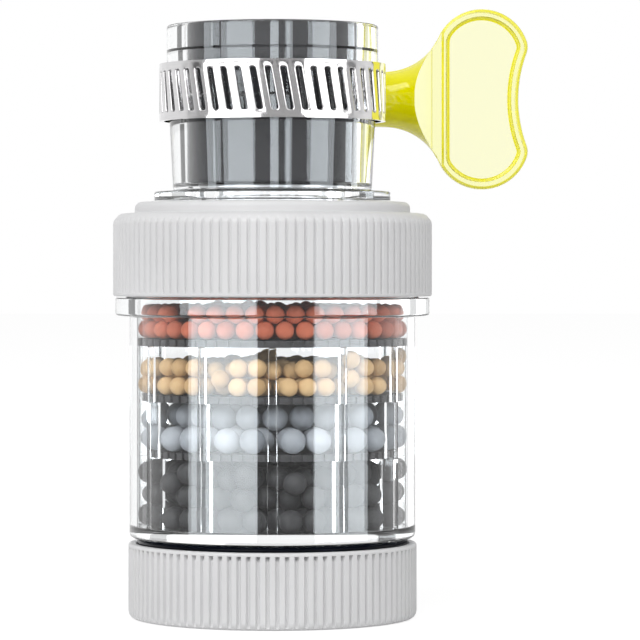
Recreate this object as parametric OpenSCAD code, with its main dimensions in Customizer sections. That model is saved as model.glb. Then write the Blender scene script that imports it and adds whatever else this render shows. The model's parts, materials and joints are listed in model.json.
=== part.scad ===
// Faucet mount water filter: a clear cartridge of filter beads between two ribbed caps, with a
// clear collar, a rubber sleeve and a worm clamp that hold it to a spout. Millimetres, +Z up.
// The origin is the centre of the lower cap's flat base. The spout comes in from above.

/* [Cartridge] */
// Inner radius of the clear tube
bore_r = 18.0; // [17.5:0.1:19.0]
// Wall of the clear tube
tube_wall = 1.07; // [0.9:0.01:1.6]
// How far the lip stands out from the tube
lip_out = 1.86; // [1.2:0.02:2.4]
// Height of the lip under the ring nut
lip_h = 2.4; // [1.6:0.1:3.0]
// Thickness of the perforated floor
floor_t = 1.55; // [1.2:0.05:2.4]
// Rounding of the tube's lower edge
tube_round = 1.2; // [0.6:0.1:1.5]
// Depth of the upper threaded neck, from the lip to the rim
top_neck_h = 7.4; // [6.5:0.1:9.0]
// Wall of the lower threaded neck
foot_neck_wall = 1.6; // [1.2:0.1:2.2]
// Gap under the lower neck, above the cap's floor
foot_neck_gap = 1.6; // [1.4:0.1:2.4]

/* [Inner Ribs] */
// Number of ribs around the bore
rib_n = 12; // [8:1:14]
// Step from one strainer's seat in to the next
rib_step = 0.6; // [0.5:0.05:0.8]
// Width of the ribs at the top step
rib_w = 1.0; // [0.8:0.05:1.2]
// Growth of the rib's width at each step down
rib_grow = 0.15; // [0:0.05:0.2]

/* [Bead Beds] */
// Height of the black bead bed's chamber
black_h = 9.3; // [8.5:0.1:10.5]
// Height of the white bead bed's chamber
white_h = 6.5; // [6.1:0.1:8.0]
// Height of the tan bead bed's chamber
tan_h = 6.4; // [5.6:0.1:8.0]
// Height of the red bead bed's chamber
red_h = 5.4; // [5.0:0.1:7.0]
// Diameter of a black carbon bead
black_d = 3.05; // [2.8:0.05:3.2]
// Diameter of a white bead
white_d = 3.3; // [3.0:0.05:3.4]
// Diameter of a tan bead
tan_d = 2.4; // [2.2:0.05:2.6]
// Diameter of a red clay bead
red_d = 2.4; // [2.2:0.05:2.6]
// Least space left between two beads of one bed
bead_gap = 0.03; // [0.02:0.01:0.06]
// Play of a bead between its neighbours in a full ring
bead_play = 0.14; // [0.1:0.02:0.3]
// Space left between a bead and any wall
bead_wall_gap = 0.08; // [0.06:0.01:0.12]

/* [Strainers] */
// Thickness of the strainer discs
strainer_t = 0.9; // [0.7:0.05:1.2]
// Clearance around a strainer
strainer_clear = 0.06; // [0.04:0.01:0.1]
// Radius of a strainer's water holes
strainer_hole_r = 0.6; // [0.4:0.05:0.8]
// Number of notches in a strainer's rim
notch_n = 72; // [48:6:80]
// Width of a rim notch
notch_w = 0.5; // [0.3:0.05:0.6]
// Depth of a rim notch
notch_depth = 0.35; // [0.2:0.05:0.4]

/* [Lower Cap] */
// Height of the lower cap
cap_h = 10.0; // [9.0:0.1:12.0]
// How far the cap stands out from the clear tube
cap_out = 0.13; // [0.1:0.01:0.6]
// Thickness of the cap's floor
cap_floor_t = 1.6; // [1.2:0.1:2.0]
// Rounding of the cap's bottom edge
cap_round = 1.0; // [0.5:0.1:1.4]
// Number of grip ribs on the lower cap
cap_rib_n = 96; // [80:4:100]
// Width of a groove between two ribs
cap_groove_w = 0.53; // [0.4:0.01:0.6]
// Depth of those grooves
cap_groove_depth = 0.4; // [0.3:0.05:0.5]
// Plain edge left at both ends of a groove
cap_edge = 0.45; // [0.3:0.05:0.8]
// Radius of the outlet's spray holes
spray_hole_r = 0.7; // [0.5:0.05:0.8]
// Rings of spray holes in the outlet
spray_rings = 3; // [2:1:3]

/* [Ring Nut] */
// Height of the ring nut up to its shoulder
nut_h = 11.0; // [10.8:0.1:12.0]
// How far the nut's ribs stand out from the housing's lip
nut_out = 0.3; // [0.2:0.02:0.6]
// Number of grip ribs on the ring nut
nut_rib_n = 108; // [90:6:120]
// Width of a groove between two ribs
nut_groove_w = 0.36; // [0.25:0.01:0.45]
// How far the ribs stand out from the nut's wall
nut_rib_h = 0.28; // [0.2:0.02:0.4]
// Plain edge under the grooves
nut_edge = 0.4; // [0.3:0.05:0.8]
// Height of the shoulder above the ribs
nut_shoulder_h = 1.3; // [1.1:0.1:1.6]
// Height of the raised step in the middle
nut_step_h = 1.5; // [1.2:0.1:2.0]
// Inset of that step from the nut's outside
nut_step_in = 2.9; // [2.4:0.1:3.6]
// Thickness of the nut's top wall round the neck
nut_top_t = 1.7; // [1.5:0.05:1.9]

/* [Collar] */
// Outer radius of the clear collar at its mouth
collar_r = 14.1; // [13.8:0.05:14.3]
// How much thinner the collar is at its foot
collar_draft = 0.85; // [0.5:0.05:1.2]
// Wall of the collar at its mouth
collar_wall = 2.6; // [2.4:0.05:2.9]
// Height of the collar from flange top to mouth
collar_h = 22.1; // [21.0:0.1:24.0]
// Height over which the collar tapers
collar_taper_h = 17.3; // [15.0:0.1:18.0]
// Radius of the collar's flange
flange_r = 15.76; // [15.0:0.02:16.4]
// Thickness of the flange
flange_t = 1.2; // [1.0:0.05:1.6]
// Thickness of the collar's floor
collar_floor_t = 2.0; // [1.7:0.1:2.4]
// Outer radius of the neck that passes through the ring nut
neck_r = 12.4; // [12.0:0.05:12.7]
// Radius of the water way through the neck
way_r = 7.5; // [6.5:0.1:8.0]
// Depth of the sleeve's lead-in at the collar's mouth
lead_in_h = 3.1; // [2.4:0.1:3.6]

/* [Sleeve] */
// Wall of the rubber sleeve, which grips the spout
sleeve_wall = 2.35; // [1.75:0.05:3.35]
// Air gap between the sleeve and the collar
sleeve_gap = 0.15; // [0.1:0.01:0.3]

/* [Clamp] */
// Width of the clamp band
band_w = 7.6; // [7.2:0.1:8.2]
// Thickness of the clamp band
band_t = 0.64; // [0.5:0.02:0.7]
// Gap between the band and the collar
band_gap = 0.35; // [0.3:0.01:0.45]
// Height of the band's middle above the flange's top
band_mid = 13.15; // [12.6:0.05:14.0]
// Number of slots that a full turn of the band would hold
slot_n = 47; // [40:1:50]
// Width of a slot
slot_w = 0.9; // [0.7:0.05:1.0]
// Length of a slot
slot_len = 5.9; // [4.8:0.1:6.2]
// Sideways lean of a slot over its length
slot_lean = 1.0; // [0.6:0.1:1.2]
// Outer radius of the worm's thread
worm_r = 2.85; // [2.6:0.05:2.9]
// Depth of the worm's thread
worm_depth = 0.55; // [0.4:0.05:0.7]
// Length of the worm inside its housing
worm_len = 6.9; // [6.0:0.1:7.5]
// Sheet thickness of the worm housing
saddle_t = 0.6; // [0.5:0.05:0.8]
// Radius of the worm's journals and shank
shank_r = 2.0; // [1.7:0.05:2.1]

/* [Thumb Key] */
// Radius of the key's hub where it leaves the clamp
hub_r = 3.85; // [3.6:0.05:4.0]
// Distance from the filter's axis to the wing's outermost point
wing_reach = 35.3; // [34.0:0.1:37.0]
// Radius of each round lobe of the wing
lobe_r = 6.6; // [6.2:0.1:7.0]
// Height of a lobe's centre above the key's axis
lobe_z = 5.87; // [5.6:0.05:6.2]
// Radius of the wing's outer corners
corner_r = 2.6; // [2.2:0.1:3.0]
// How far the wing's outer edge dips between the lobes
waist_dip = 1.3; // [1.0:0.05:1.5]
// Thickness of the wing
wing_t = 2.6; // [2.2:0.1:3.0]
// Width of the rim round the wing's panel
wing_rim = 1.0; // [0.8:0.05:1.3]
// Depth of the panel on each side
panel_depth = 0.6; // [0.4:0.05:0.8]

/* [Hidden] */
$fn = 96;
eps = 0.01;            // overlap that joins two pieces of one solid
cut = 1;               // how far a cutting body runs past the surface it cuts
touch = 0.05;          // working gap between pieces that seat on each other
part_line = 0.2;       // gap seen between two screwed pieces
thread_clear = 0.25;   // radial clearance of the screwed caps on their necks
hole_spacing = 3.5;    // from one ring of water holes to the next
ring_turn = 15;        // each ring of holes is turned this much further
strainer_rings = 4;    // rings of water holes in the strainers and the housing's floor
small_round = 0.3;     // rounding of plain outer edges

// Radii of the housing
housing_r = bore_r + tube_wall;
lip_r = housing_r + lip_out;
neck_step = 0.33;      // the upper neck stands out from the tube
seat_step = 0.35;      // the top strainer's seat is wider than the bore
foot_step = 1.0;       // the lower neck is narrower than the bore
top_neck_r = housing_r + neck_step;
strainer_seat_r = bore_r + seat_step;
foot_neck_r = bore_r - foot_step;
lip_round = 0.35;
rim_seal_in = 0.1;     // the gasket lies this far inside both edges of the rim

// Heights, from the base up
seal_gap = 0.75;
tube_z = cap_h + seal_gap;
floor_z = tube_z + floor_t;
lower_seat_z = floor_z + black_h;
white_z = lower_seat_z + strainer_t;
middle_seat_z = white_z + white_h;
tan_z = middle_seat_z + strainer_t;
upper_seat_z = tan_z + tan_h;
red_z = upper_seat_z + strainer_t;
lip_top_z = red_z + red_h;
rim_z = lip_top_z + top_neck_h;

// Ring nut
nut_z = lip_top_z + part_line;
nut_rib_r = lip_r + nut_out;
nut_r = nut_rib_r - nut_rib_h;
nut_shoulder_z = nut_z + nut_h;
nut_rib_top_z = nut_shoulder_z - nut_shoulder_h;
nut_top_z = nut_shoulder_z + nut_step_h;
nut_step_r = nut_rib_r - nut_step_in;
nut_bore_r = top_neck_r + thread_clear;
gasket_t = 1.1;
nut_seal_z = rim_z + gasket_t + touch;
nut_land = 2.2;        // width of the face that presses on the gasket
nut_round = nut_shoulder_h - 0.2;
step_round = 0.8;
nut_recess_r = top_neck_r - nut_land;
nut_recess_z = nut_top_z - nut_top_t;
neck_clear = 0.08;     // running clearance of the collar's neck in the nut

// Collar and what is in it
flange_z = nut_top_z + part_line;
collar_z = flange_z + flange_t;
collar_top_z = collar_z + collar_h;
collar_foot_r = collar_r - collar_draft;
collar_bore_r = collar_r - collar_wall;
sleeve_r = collar_bore_r - sleeve_gap;
spout_r = sleeve_r - sleeve_wall;
collar_floor_z = flange_z + collar_floor_t;
sleeve_z = collar_floor_z + touch;
taper_top_z = collar_z + collar_taper_h;
mark_drop = 0.65;      // the fine line round the collar lies this far under the band's middle
mark_depth = 0.12;
flange_round = 0.45;
neck_round = 0.4;
lead_in = 0.25;        // the collar's mouth is this much wider than its bore
ring_t = 1.2;
ring_out = 2.0;        // the retaining ring stands out from the neck
ring_split = 3.0;      // width of the ring's gap
ring_play = 0.1;       // axial play of the ring under the nut's top wall
groove_depth = 0.8;    // depth of the neck's groove for the ring
neck_end = 1.1;        // length of the neck under the groove
ring_z = nut_recess_z - ring_play - ring_t;
neck_z = ring_z - neck_end;
ring_groove_r = neck_r - groove_depth;
seal_d = 0.9;
seal_r = neck_r + neck_clear - touch - seal_d / 2;
seal_z = nut_top_z - nut_top_t / 2;
sleeve_round = 0.8;
screen_t = 0.4;
screen_land = 2.2;     // width of the ledge that holds the screen
screen_hole_r = 0.5;
screen_seat_z = collar_floor_z - screen_t;
screen_r = way_r + screen_land;

// Lower cap
cap_r = housing_r + cap_out;
cap_bore_r = foot_neck_r + thread_clear;
foot_neck_z = cap_floor_t + foot_neck_gap;
o_ring_d = 1.0;
o_ring_r = foot_neck_r + touch + o_ring_d / 2;
o_ring_z = tube_z - 2 * touch - o_ring_d / 2;
o_ring_seat_z = o_ring_z - o_ring_d / 2 - touch;
pad_play = 0.15;       // the felt pad is this much smaller than the cap's bore

// Bead beds
odd_inset = 0.12;      // every second layer lies in by this share of a bead
even_fewer = 0.25;     // share of the sectors that hold one bead less than they could
odd_fewer = 0.7;

// Clamp
band_z = collar_z + band_mid;
band_r = collar_r + band_gap;
band_out_r = band_r + band_t;
layer_gap = 0.03;      // between the band's two layers
tail_r = band_out_r + layer_gap;
tail_out_r = tail_r + band_t;
slot_pitch = 360 / slot_n;
slot_phase = -0.5;     // the slot nearest the front lies this far to its left
plain_end = 36;        // the fixed end has no slots over this angle
band_start = 76;       // fixed end of the band, under the worm housing
band_leave = 390;      // where the band leaves its circle to lap over itself
lap_end = 432;         // where the outer layer is a full thickness out
lap_joint = 4;         // the outer layer starts this much earlier, to join the lap
tail_end = 500;        // free end of the band
tail_plain = 3;        // the free end has no slots over this angle
lap_offset = (band_t + layer_gap) / (1 - cos(lap_end - band_leave));
mesh_gap = 0.06;       // between the worm's thread and the band
worm_play = 0.4;       // axial play of the thread in its housing
saddle_gap = 0.1;      // between the housing's ends and the band's outer layer
leg_gap = 0.15;        // between the housing's legs and the collar
journal_clear = 0.08;
journal_end = 0.4;     // the journal stands out of the housing's far end
worm_y = tail_out_r + mesh_gap + worm_r;
saddle_len = worm_len + worm_play + 2 * saddle_t;
saddle_half = band_w / 2 + touch;
leg_y = collar_r + leg_gap;
worm_pitch = 2 * PI * band_out_r / slot_n;

// Thumb key, drawn in the plane of its wing: x from the filter's axis, y from the key's axis
hub_gap = 1.2;         // between the worm housing and the key
hub_taper = 0.3;       // the hub starts this much thinner
hub_x = saddle_len / 2 + hub_gap;
flare_x = 15.5;        // where the stem starts to flare into the wing
hub_start_r = hub_r - hub_taper;
corner_angle = 20;     // how far round its lobe an outer corner lies
corner = [wing_reach - corner_r, lobe_z + (lobe_r - corner_r) * sin(corner_angle)];
lobe = [corner.x - (lobe_r - corner_r) * cos(corner_angle), lobe_z];
waist_x = wing_reach - waist_dip;
waist_r = (pow(waist_x - corner.x, 2) + pow(corner.y, 2) - pow(corner_r, 2))
        / (2 * (corner_r - (waist_x - corner.x)));
waist = [waist_x + waist_r, 0];
flare_r = (pow(lobe.x - flare_x, 2) + pow(hub_r - lobe.y, 2) - pow(lobe_r, 2))
        / (2 * (lobe_r - (hub_r - lobe.y)));
flare = [flare_x, hub_r + flare_r];
join = flare + (lobe - flare) * flare_r / (flare_r + lobe_r);
turn_in = corner + (waist - corner) * corner_r / (corner_r + waist_r);
fold_x = 22.0;         // where the sloped cheeks meet the wing's flats
apex_x = 19.5;         // where the cheeks start on the hub
cheek_half = 4.8;      // half thickness of the key where the cheeks start
stem_half = cheek_half + 2;
panel_x = fold_x + 2;
panel_steps = 3;
panel_inset = 0.2;     // each step of the panel is this much smaller
shank_end = 13.0;      // how far the screw's shank reaches into the key
key_fit = 0.02;        // the shank is pressed into the key

// Helpers

// Rounds a convex corner of a profile at p, whose body lies towards dir
module round_off(p, r, dir = [-1, -1]) {
    translate(p)
        difference() {
            translate([dir.x < 0 ? -r : -cut, dir.y < 0 ? -r : -cut])
                square(r + cut);
            translate(dir * r)
                circle(r);
        }
}

// A ring's profile from radius r1 to r2 and height z1 to z2
module band_profile(r1, r2, z1, z2) {
    translate([r1, z1])
        square([r2 - r1, z2 - z1]);
}

// Copies children n times about Z
module around(n, start = 0) {
    for (i = [0 : n - 1])
        rotate(start + i * 360 / n)
            children();
}

// Rings of holes, six more in each ring, with none in the middle
module hole_rings(rings, spacing, r, z, h) {
    for (k = [1 : rings])
        around(6 * k, ring_turn * k)
            translate([k * spacing, 0, z])
                cylinder(r = r, h = h, $fn = 24);
}

function polar(r, a) = [r * cos(a), r * sin(a)];

// The collar's outer radius at height z on its taper
function taper_r(z) = collar_foot_r + (collar_r - collar_foot_r) * (z - collar_z) / collar_taper_h;

// Bead beds: beads are set out in rings, and each one drops until it rests on the bed below.
// Every second layer lies half a bead further round and a little further in.

// Angles of the outer ring, which lies in the sectors between the ribs
function sector_angles(r, d, keep_off, fewer, seed) =
    let (keep = asin(keep_off / r),
         step = 2 * asin((d + bead_gap) / 2 / r),
         span = 360 / rib_n - 2 * keep,
         most = floor(span / step) + 1,
         luck = rands(0, 1, 2 * rib_n, seed))
    [for (s = [0 : rib_n - 1])
        let (count = max(1, most - (luck[2 * s] < fewer ? 1 : 0)),
             slack = span - (count - 1) * step,
             start = s * 360 / rib_n + keep + slack * luck[2 * s + 1])
        for (k = [0 : count - 1]) start + k * step];

// Angles of a full ring, of which every bead has a little play
function ring_angles(r, d, shift, seed) =
    let (count = max(1, floor(180 / asin(min(1, (d + bead_play) / 2 / r)))),
         play = 360 / count - 2 * asin(min(1, (d + 2 * bead_gap) / 2 / r)),
         luck = rands(-0.5, 0.5, count + 1, seed))
    [for (k = [0 : count - 1]) (k + shift + luck[count]) * 360 / count + luck[k] * max(0, play)];

// The places of one layer, from the wall in to the middle
function layer_places(d, ribbed_w, layer, seed) =
    let (odd = layer % 2,
         r0 = bore_r - d / 2 - bead_wall_gap,
         inset = odd * d * odd_inset,
         pitch = d + 2 * bead_gap,
         fewer = odd ? odd_fewer : even_fewer,
         keep_off = ribbed_w / 2 + d / 2 + bead_wall_gap)
    concat(
        [for (a = ribbed_w > 0 ? sector_angles(r0 - inset, d, keep_off, fewer, seed + 100 * layer)
                : ring_angles(r0, d, odd / 2, seed))
            polar(r0 - inset, a)],
        [for (j = [1 : floor(r0 / pitch)])
            let (r = r0 - j * pitch)
            if (r > d / 2)
                each [for (a = ring_angles(r, d, odd / 2, seed + j)) polar(r - inset, a)]]);

// Some layers, of which the last is only partly filled
function bed_places(d, ribbed_w, layers, last_share, seed) =
    [for (l = [0 : layers - 1])
        let (places = layer_places(d, ribbed_w, l, seed),
             luck = rands(0, 1, len(places), seed + 50 + l))
        for (i = [0 : len(places) - 1])
            if (l < layers - 1 || luck[i] < last_share) places[i]];

// Where a bead at p comes to rest on the floor z0 or on the beads that are there
function resting_z(p, beads, d, z0) =
    let (reach = d + bead_gap)
    max([z0 + d / 2 + bead_wall_gap,
        for (b = beads)
            let (h2 = pow(p.x - b.x, 2) + pow(p.y - b.y, 2))
            if (h2 < reach * reach) b.z + sqrt(reach * reach - h2)]);

function settled(places, d, z0, top, i = 0, beads = []) =
    i == len(places) ? beads
    : let (z = resting_z(places[i], beads, d, z0),
           fits = z + d / 2 + bead_wall_gap <= top)
      settled(places, d, z0, top, i + 1,
          fits ? concat(beads, [[places[i].x, places[i].y, z]]) : beads);

module bead_bed(d, z0, top, ribbed_w, layers, last_share, seed) {
    for (p = settled(bed_places(d, ribbed_w, layers, last_share, seed), d, z0, top))
        translate(p)
            sphere(d / 2, $fn = 24);
}

// Lower cap: ribbed outside, screwed to the housing's foot, with the spray outlet in its floor
module lower_cap() {
    color([0.86, 0.86, 0.85])
        difference() {
            rotate_extrude()
                difference() {
                    band_profile(0, cap_r, 0, cap_h);
                    round_off([cap_r, 0], cap_round, [-1, 1]);
                    round_off([cap_r, cap_h], small_round);
                    band_profile(-cut, cap_bore_r, cap_floor_t, cap_h + cut);
                    band_profile(-cut, o_ring_r + o_ring_d / 2 + touch, o_ring_seat_z, cap_h + cut);
                }
            around(cap_rib_n, 180 / cap_rib_n)
                translate([cap_r - cap_groove_depth, -cap_groove_w / 2, cap_edge])
                    cube([cut, cap_groove_w, cap_h - 2 * cap_edge]);
            hole_rings(spray_rings, hole_spacing, spray_hole_r, -cut, cap_floor_t + 2 * cut);
        }
}

// Felt pad that the housing's foot holds down on the outlet
module outlet_pad() {
    color([0.95, 0.95, 0.93])
        translate([0, 0, cap_floor_t + touch])
            cylinder(r = cap_bore_r - pad_play, h = foot_neck_gap - 2 * touch);
}

// Sealing ring between the lower cap and the housing's shoulder
module cap_o_ring() {
    color([0.05, 0.06, 0.1])
        rotate_extrude()
            translate([o_ring_r, o_ring_z])
                circle(d = o_ring_d);
}

// One rib of the housing: wider and deeper at each step down, and each step seats a strainer
module inner_rib() {
    seats = [upper_seat_z, middle_seat_z, lower_seat_z];
    for (k = [0 : 2]) {
        w = rib_w + k * rib_grow;
        translate([bore_r - (k + 1) * rib_step, -w / 2, floor_z - eps])
            cube([(k + 1) * rib_step + tube_wall / 2, w, seats[k] - floor_z + eps]);
    }
}

// Clear housing: tube, lip, both threaded necks, stepped ribs and the perforated floor
module housing() {
    color([0.85, 0.9, 0.93, 0.35])
        difference() {
            union() {
                rotate_extrude()
                    difference() {
                        union() {
                            band_profile(0, housing_r, tube_z, lip_top_z);
                            band_profile(0, lip_r, lip_top_z - lip_h, lip_top_z);
                            band_profile(0, top_neck_r, lip_top_z - lip_h, rim_z);
                            band_profile(0, foot_neck_r, foot_neck_z, floor_z);
                        }
                        round_off([housing_r, tube_z], tube_round, [-1, 1]);
                        round_off([lip_r, lip_top_z - lip_h], lip_round, [-1, 1]);
                        round_off([lip_r, lip_top_z], lip_round / 2);
                        band_profile(-cut, bore_r, floor_z, rim_z + cut);
                        band_profile(-cut, strainer_seat_r, lip_top_z, rim_z + cut);
                        band_profile(-cut, foot_neck_r - foot_neck_wall, -cut, tube_z);
                    }
                around(rib_n)
                    inner_rib();
            }
            hole_rings(strainer_rings, hole_spacing, strainer_hole_r, tube_z - cut, floor_t + 2 * cut);
        }
}

module black_beads() {
    color([0.2, 0.2, 0.21])
        bead_bed(black_d, floor_z, lower_seat_z, rib_w + 2 * rib_grow, 5, 1, 11);
}

module white_beads() {
    color([0.85, 0.87, 0.9])
        bead_bed(white_d, white_z, middle_seat_z, rib_w + rib_grow, 7, 1, 23);
}

module tan_beads() {
    color([0.8, 0.68, 0.5])
        bead_bed(tan_d, tan_z, upper_seat_z, rib_w, 3, 0.35, 37);
}

module red_beads() {
    color([0.78, 0.38, 0.26])
        bead_bed(red_d, red_z, lip_top_z, 0, 2, 0.85, 41);
}

// A strainer disc: water holes in rings and a notched rim
module strainer(r, z) {
    color([0.16, 0.16, 0.17])
        difference() {
            translate([0, 0, z])
                cylinder(r = r, h = strainer_t);
            hole_rings(strainer_rings, hole_spacing, strainer_hole_r, z - cut, strainer_t + 2 * cut);
            around(notch_n, 180 / notch_n)
                translate([r - notch_depth, -notch_w / 2, z - cut])
                    cube([cut, notch_w, strainer_t + 2 * cut]);
        }
}

module lower_strainer() {
    strainer(bore_r - 2 * rib_step - strainer_clear, lower_seat_z);
}

module middle_strainer() {
    strainer(bore_r - rib_step - strainer_clear, middle_seat_z);
}

module upper_strainer() {
    strainer(bore_r - strainer_clear, upper_seat_z);
}

module top_strainer() {
    strainer(strainer_seat_r - strainer_clear, lip_top_z);
}

// Flat seal on the housing's rim
module housing_gasket() {
    color([0.12, 0.12, 0.12])
        rotate_extrude()
            band_profile(bore_r + rim_seal_in, top_neck_r - rim_seal_in, rim_z, rim_z + gasket_t);
}

// Ring nut: ribbed outside, screwed to the housing's upper neck, with a hole for the collar
module ring_nut() {
    color([0.86, 0.86, 0.85])
        difference() {
            rotate_extrude()
                difference() {
                    union() {
                        band_profile(0, nut_rib_r, nut_z, nut_rib_top_z);
                        band_profile(0, nut_r, nut_z, nut_shoulder_z);
                        band_profile(0, nut_step_r, nut_z, nut_top_z);
                    }
                    round_off([nut_r, nut_shoulder_z], nut_round);
                    round_off([nut_step_r, nut_top_z], step_round);
                    band_profile(-cut, nut_bore_r, nut_z - cut, nut_seal_z);
                    band_profile(-cut, nut_recess_r, nut_z - cut, nut_recess_z);
                    band_profile(-cut, neck_r + neck_clear, nut_z - cut, nut_top_z + cut);
                }
            around(nut_rib_n, 180 / nut_rib_n)
                translate([nut_r + eps, -nut_groove_w / 2, nut_z + nut_edge])
                    cube([cut, nut_groove_w, nut_rib_top_z - nut_z]);
        }
}

// Split ring that snaps in the neck's groove and holds the nut on the collar
module retaining_ring() {
    color([0.9, 0.9, 0.9])
        translate([0, 0, ring_z])
            difference() {
                cylinder(r = neck_r + ring_out, h = ring_t);
                translate([0, 0, -cut])
                    cylinder(r = ring_groove_r + touch, h = ring_t + 2 * cut);
                translate([0, -ring_split / 2, -cut])
                    cube([neck_r + ring_out + cut, ring_split, ring_t + 2 * cut]);
            }
}

// Sealing ring between the collar's neck and the ring nut
module neck_o_ring() {
    color([0.1, 0.1, 0.1])
        rotate_extrude()
            translate([seal_r, seal_z])
                circle(d = seal_d);
}

// Clear collar: tapered cup with a flange, and a neck that turns in the ring nut
module collar() {
    color([0.85, 0.9, 0.93, 0.35])
        rotate_extrude()
            difference() {
                union() {
                    polygon([
                        [0, flange_z], [collar_foot_r, flange_z], [collar_foot_r, collar_z],
                        [collar_r, taper_top_z], [collar_r, collar_top_z], [0, collar_top_z]
                    ]);
                    band_profile(0, flange_r, flange_z, collar_z);
                    band_profile(0, neck_r, neck_z, collar_z);
                }
                round_off([flange_r, collar_z], flange_round);
                round_off([flange_r, flange_z], small_round, [-1, 1]);
                round_off([collar_r, collar_top_z], small_round);
                round_off([neck_r, neck_z], neck_round, [-1, 1]);
                band_profile(-cut, collar_bore_r, collar_floor_z, collar_top_z + cut);
                band_profile(-cut, collar_bore_r + lead_in, collar_top_z - lead_in_h, collar_top_z + cut);
                band_profile(-cut, screen_r + touch, screen_seat_z, collar_top_z);
                band_profile(-cut, way_r, neck_z - cut, collar_top_z);
                band_profile(ring_groove_r, neck_r + cut, ring_z - touch, ring_z + ring_t + touch);
                band_profile(seal_r - seal_d / 2 - touch, neck_r + cut,
                    seal_z - seal_d / 2 - touch, seal_z + seal_d / 2 + touch);
                band_profile(taper_r(band_z - mark_drop) - mark_depth, collar_r + cut,
                    band_z - mark_drop - mark_depth, band_z - mark_drop + mark_depth);
            }
}

// Mesh disc that keeps grit out of the water way
module inlet_screen() {
    color([0.7, 0.7, 0.72])
        difference() {
            translate([0, 0, screen_seat_z])
                cylinder(r = screen_r, h = screen_t - touch);
            hole_rings(strainer_rings, hole_spacing / 2, screen_hole_r, screen_seat_z - cut,
                screen_t + 2 * cut);
        }
}

// Rubber sleeve that grips the spout
module rubber_sleeve() {
    color([0.2, 0.21, 0.23])
        rotate_extrude()
            difference() {
                band_profile(spout_r, sleeve_r, sleeve_z, collar_top_z);
                round_off([sleeve_r, sleeve_z], sleeve_round, [-1, 1]);
                round_off([sleeve_r, collar_top_z], small_round);
                round_off([spout_r, collar_top_z], sleeve_round, [1, -1]);
            }
}

// Flat strip of the band, bent to a circle from angle a1 to a2
module strip(r, a1, a2) {
    rotate(a1)
        rotate_extrude(angle = a2 - a1)
            translate([r, band_z - band_w / 2])
                square([band_t, band_w]);
}

// A slanted slot through both faces of the strip, at angle a
module slot(a) {
    lean = slot_lean / 2;
    w = slot_w / 2;
    top = slot_len / 2;
    side = top - slot_w / 4;
    rotate(a)
        translate([band_r - cut, 0, band_z])
            rotate([90, 0, 90])
                linear_extrude(tail_out_r - band_r + 2 * cut)
                    polygon([
                        [-w - lean, side], [-w / 2 - lean, top], [w / 2 - lean, top],
                        [w - lean, side], [w + lean, -side], [w / 2 + lean, -top],
                        [-w / 2 + lean, -top], [-w + lean, -side]
                    ]);
}

// Slots at the band's pitch, from angle a1 to a2
module slots(a1, a2) {
    first = ceil((a1 - 270 - slot_phase) / slot_pitch);
    last = floor((a2 - 270 - slot_phase) / slot_pitch);
    for (i = [first : last])
        slot(270 + slot_phase + i * slot_pitch);
}

// Clamp band: one strip that laps over its own fixed end under the worm housing
module clamp_band() {
    color([0.8, 0.8, 0.82]) {
        difference() {
            strip(band_r, band_start, band_leave);
            slots(band_start + plain_end, band_leave + slot_pitch);
        }
        difference() {
            union() {
                rotate(band_leave)
                    translate([-lap_offset, 0, 0])
                        strip(band_r + lap_offset, -eps, lap_end - band_leave);
                strip(tail_r, lap_end - lap_joint, tail_end);
            }
            slots(band_leave - slot_pitch, tail_end - tail_plain);
        }
    }
}

// Stamped housing of the worm, which straddles the band
module worm_housing() {
    color([0.75, 0.75, 0.77])
        translate([-saddle_len / 2, 0, band_z])
            rotate([90, 0, 90])
                difference() {
                    linear_extrude(saddle_len) {
                        translate([worm_y, 0])
                            circle(saddle_half + saddle_t);
                        translate([leg_y, -saddle_half - saddle_t])
                            square([worm_y - leg_y, 2 * (saddle_half + saddle_t)]);
                    }
                    translate([0, 0, saddle_t])
                        linear_extrude(saddle_len - 2 * saddle_t) {
                            translate([worm_y, 0])
                                circle(saddle_half);
                            translate([0, -saddle_half])
                                square([worm_y, 2 * saddle_half]);
                        }
                    translate([0, -saddle_half, -cut])
                        cube([tail_out_r + saddle_gap, 2 * saddle_half, saddle_len + 2 * cut]);
                    translate([worm_y, 0, -cut])
                        cylinder(r = shank_r + journal_clear, h = saddle_len + 2 * cut);
                }
}

// Worm screw: journals in the housing's ends, the helical thread, and the shank inside the key
module worm_screw() {
    color([0.7, 0.7, 0.72])
        translate([0, worm_y, band_z])
            rotate([0, 90, 0]) {
                translate([0, 0, -saddle_len / 2 - journal_end])
                    cylinder(r = shank_r, h = saddle_len / 2 + journal_end + shank_end);
                translate([0, 0, -worm_len / 2])
                    linear_extrude(worm_len, twist = 360 * worm_len / worm_pitch, slices = 44, $fn = 16)
                        translate([worm_depth / 2, 0])
                            circle(worm_r - worm_depth / 2);
            }
}

// Outline of the wing, drawn in inset from its edge
module wing_outline(inset = 0) {
    difference() {
        union() {
            for (s = [-1, 1]) {
                translate([lobe.x, s * lobe.y])
                    circle(lobe_r - inset);
                translate([corner.x, s * corner.y])
                    circle(corner_r - inset);
            }
            polygon([
                [join.x, join.y - inset], lobe, corner, [turn_in.x, turn_in.y],
                [turn_in.x, -turn_in.y], [corner.x, -corner.y], [lobe.x, -lobe.y],
                [join.x, inset - join.y]
            ]);
            translate([flare_x, -join.y])
                square([join.x - flare_x, 2 * join.y]);
        }
        translate(waist)
            circle(waist_r + inset);
        for (s = [-1, 1])
            translate([flare.x, s * flare.y])
                circle(flare_r + inset);
    }
}

// Recess of the wing's panel on one side
module panel_recess() {
    for (k = [1 : panel_steps])
        translate([0, 0, wing_t / 2 - panel_depth * k / panel_steps])
            linear_extrude(panel_depth)
                intersection() {
                    wing_outline(wing_rim + (k - 1) * panel_inset);
                    translate([panel_x + (k - 1) * panel_inset, -wing_reach])
                        square(2 * wing_reach);
                }
}

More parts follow.
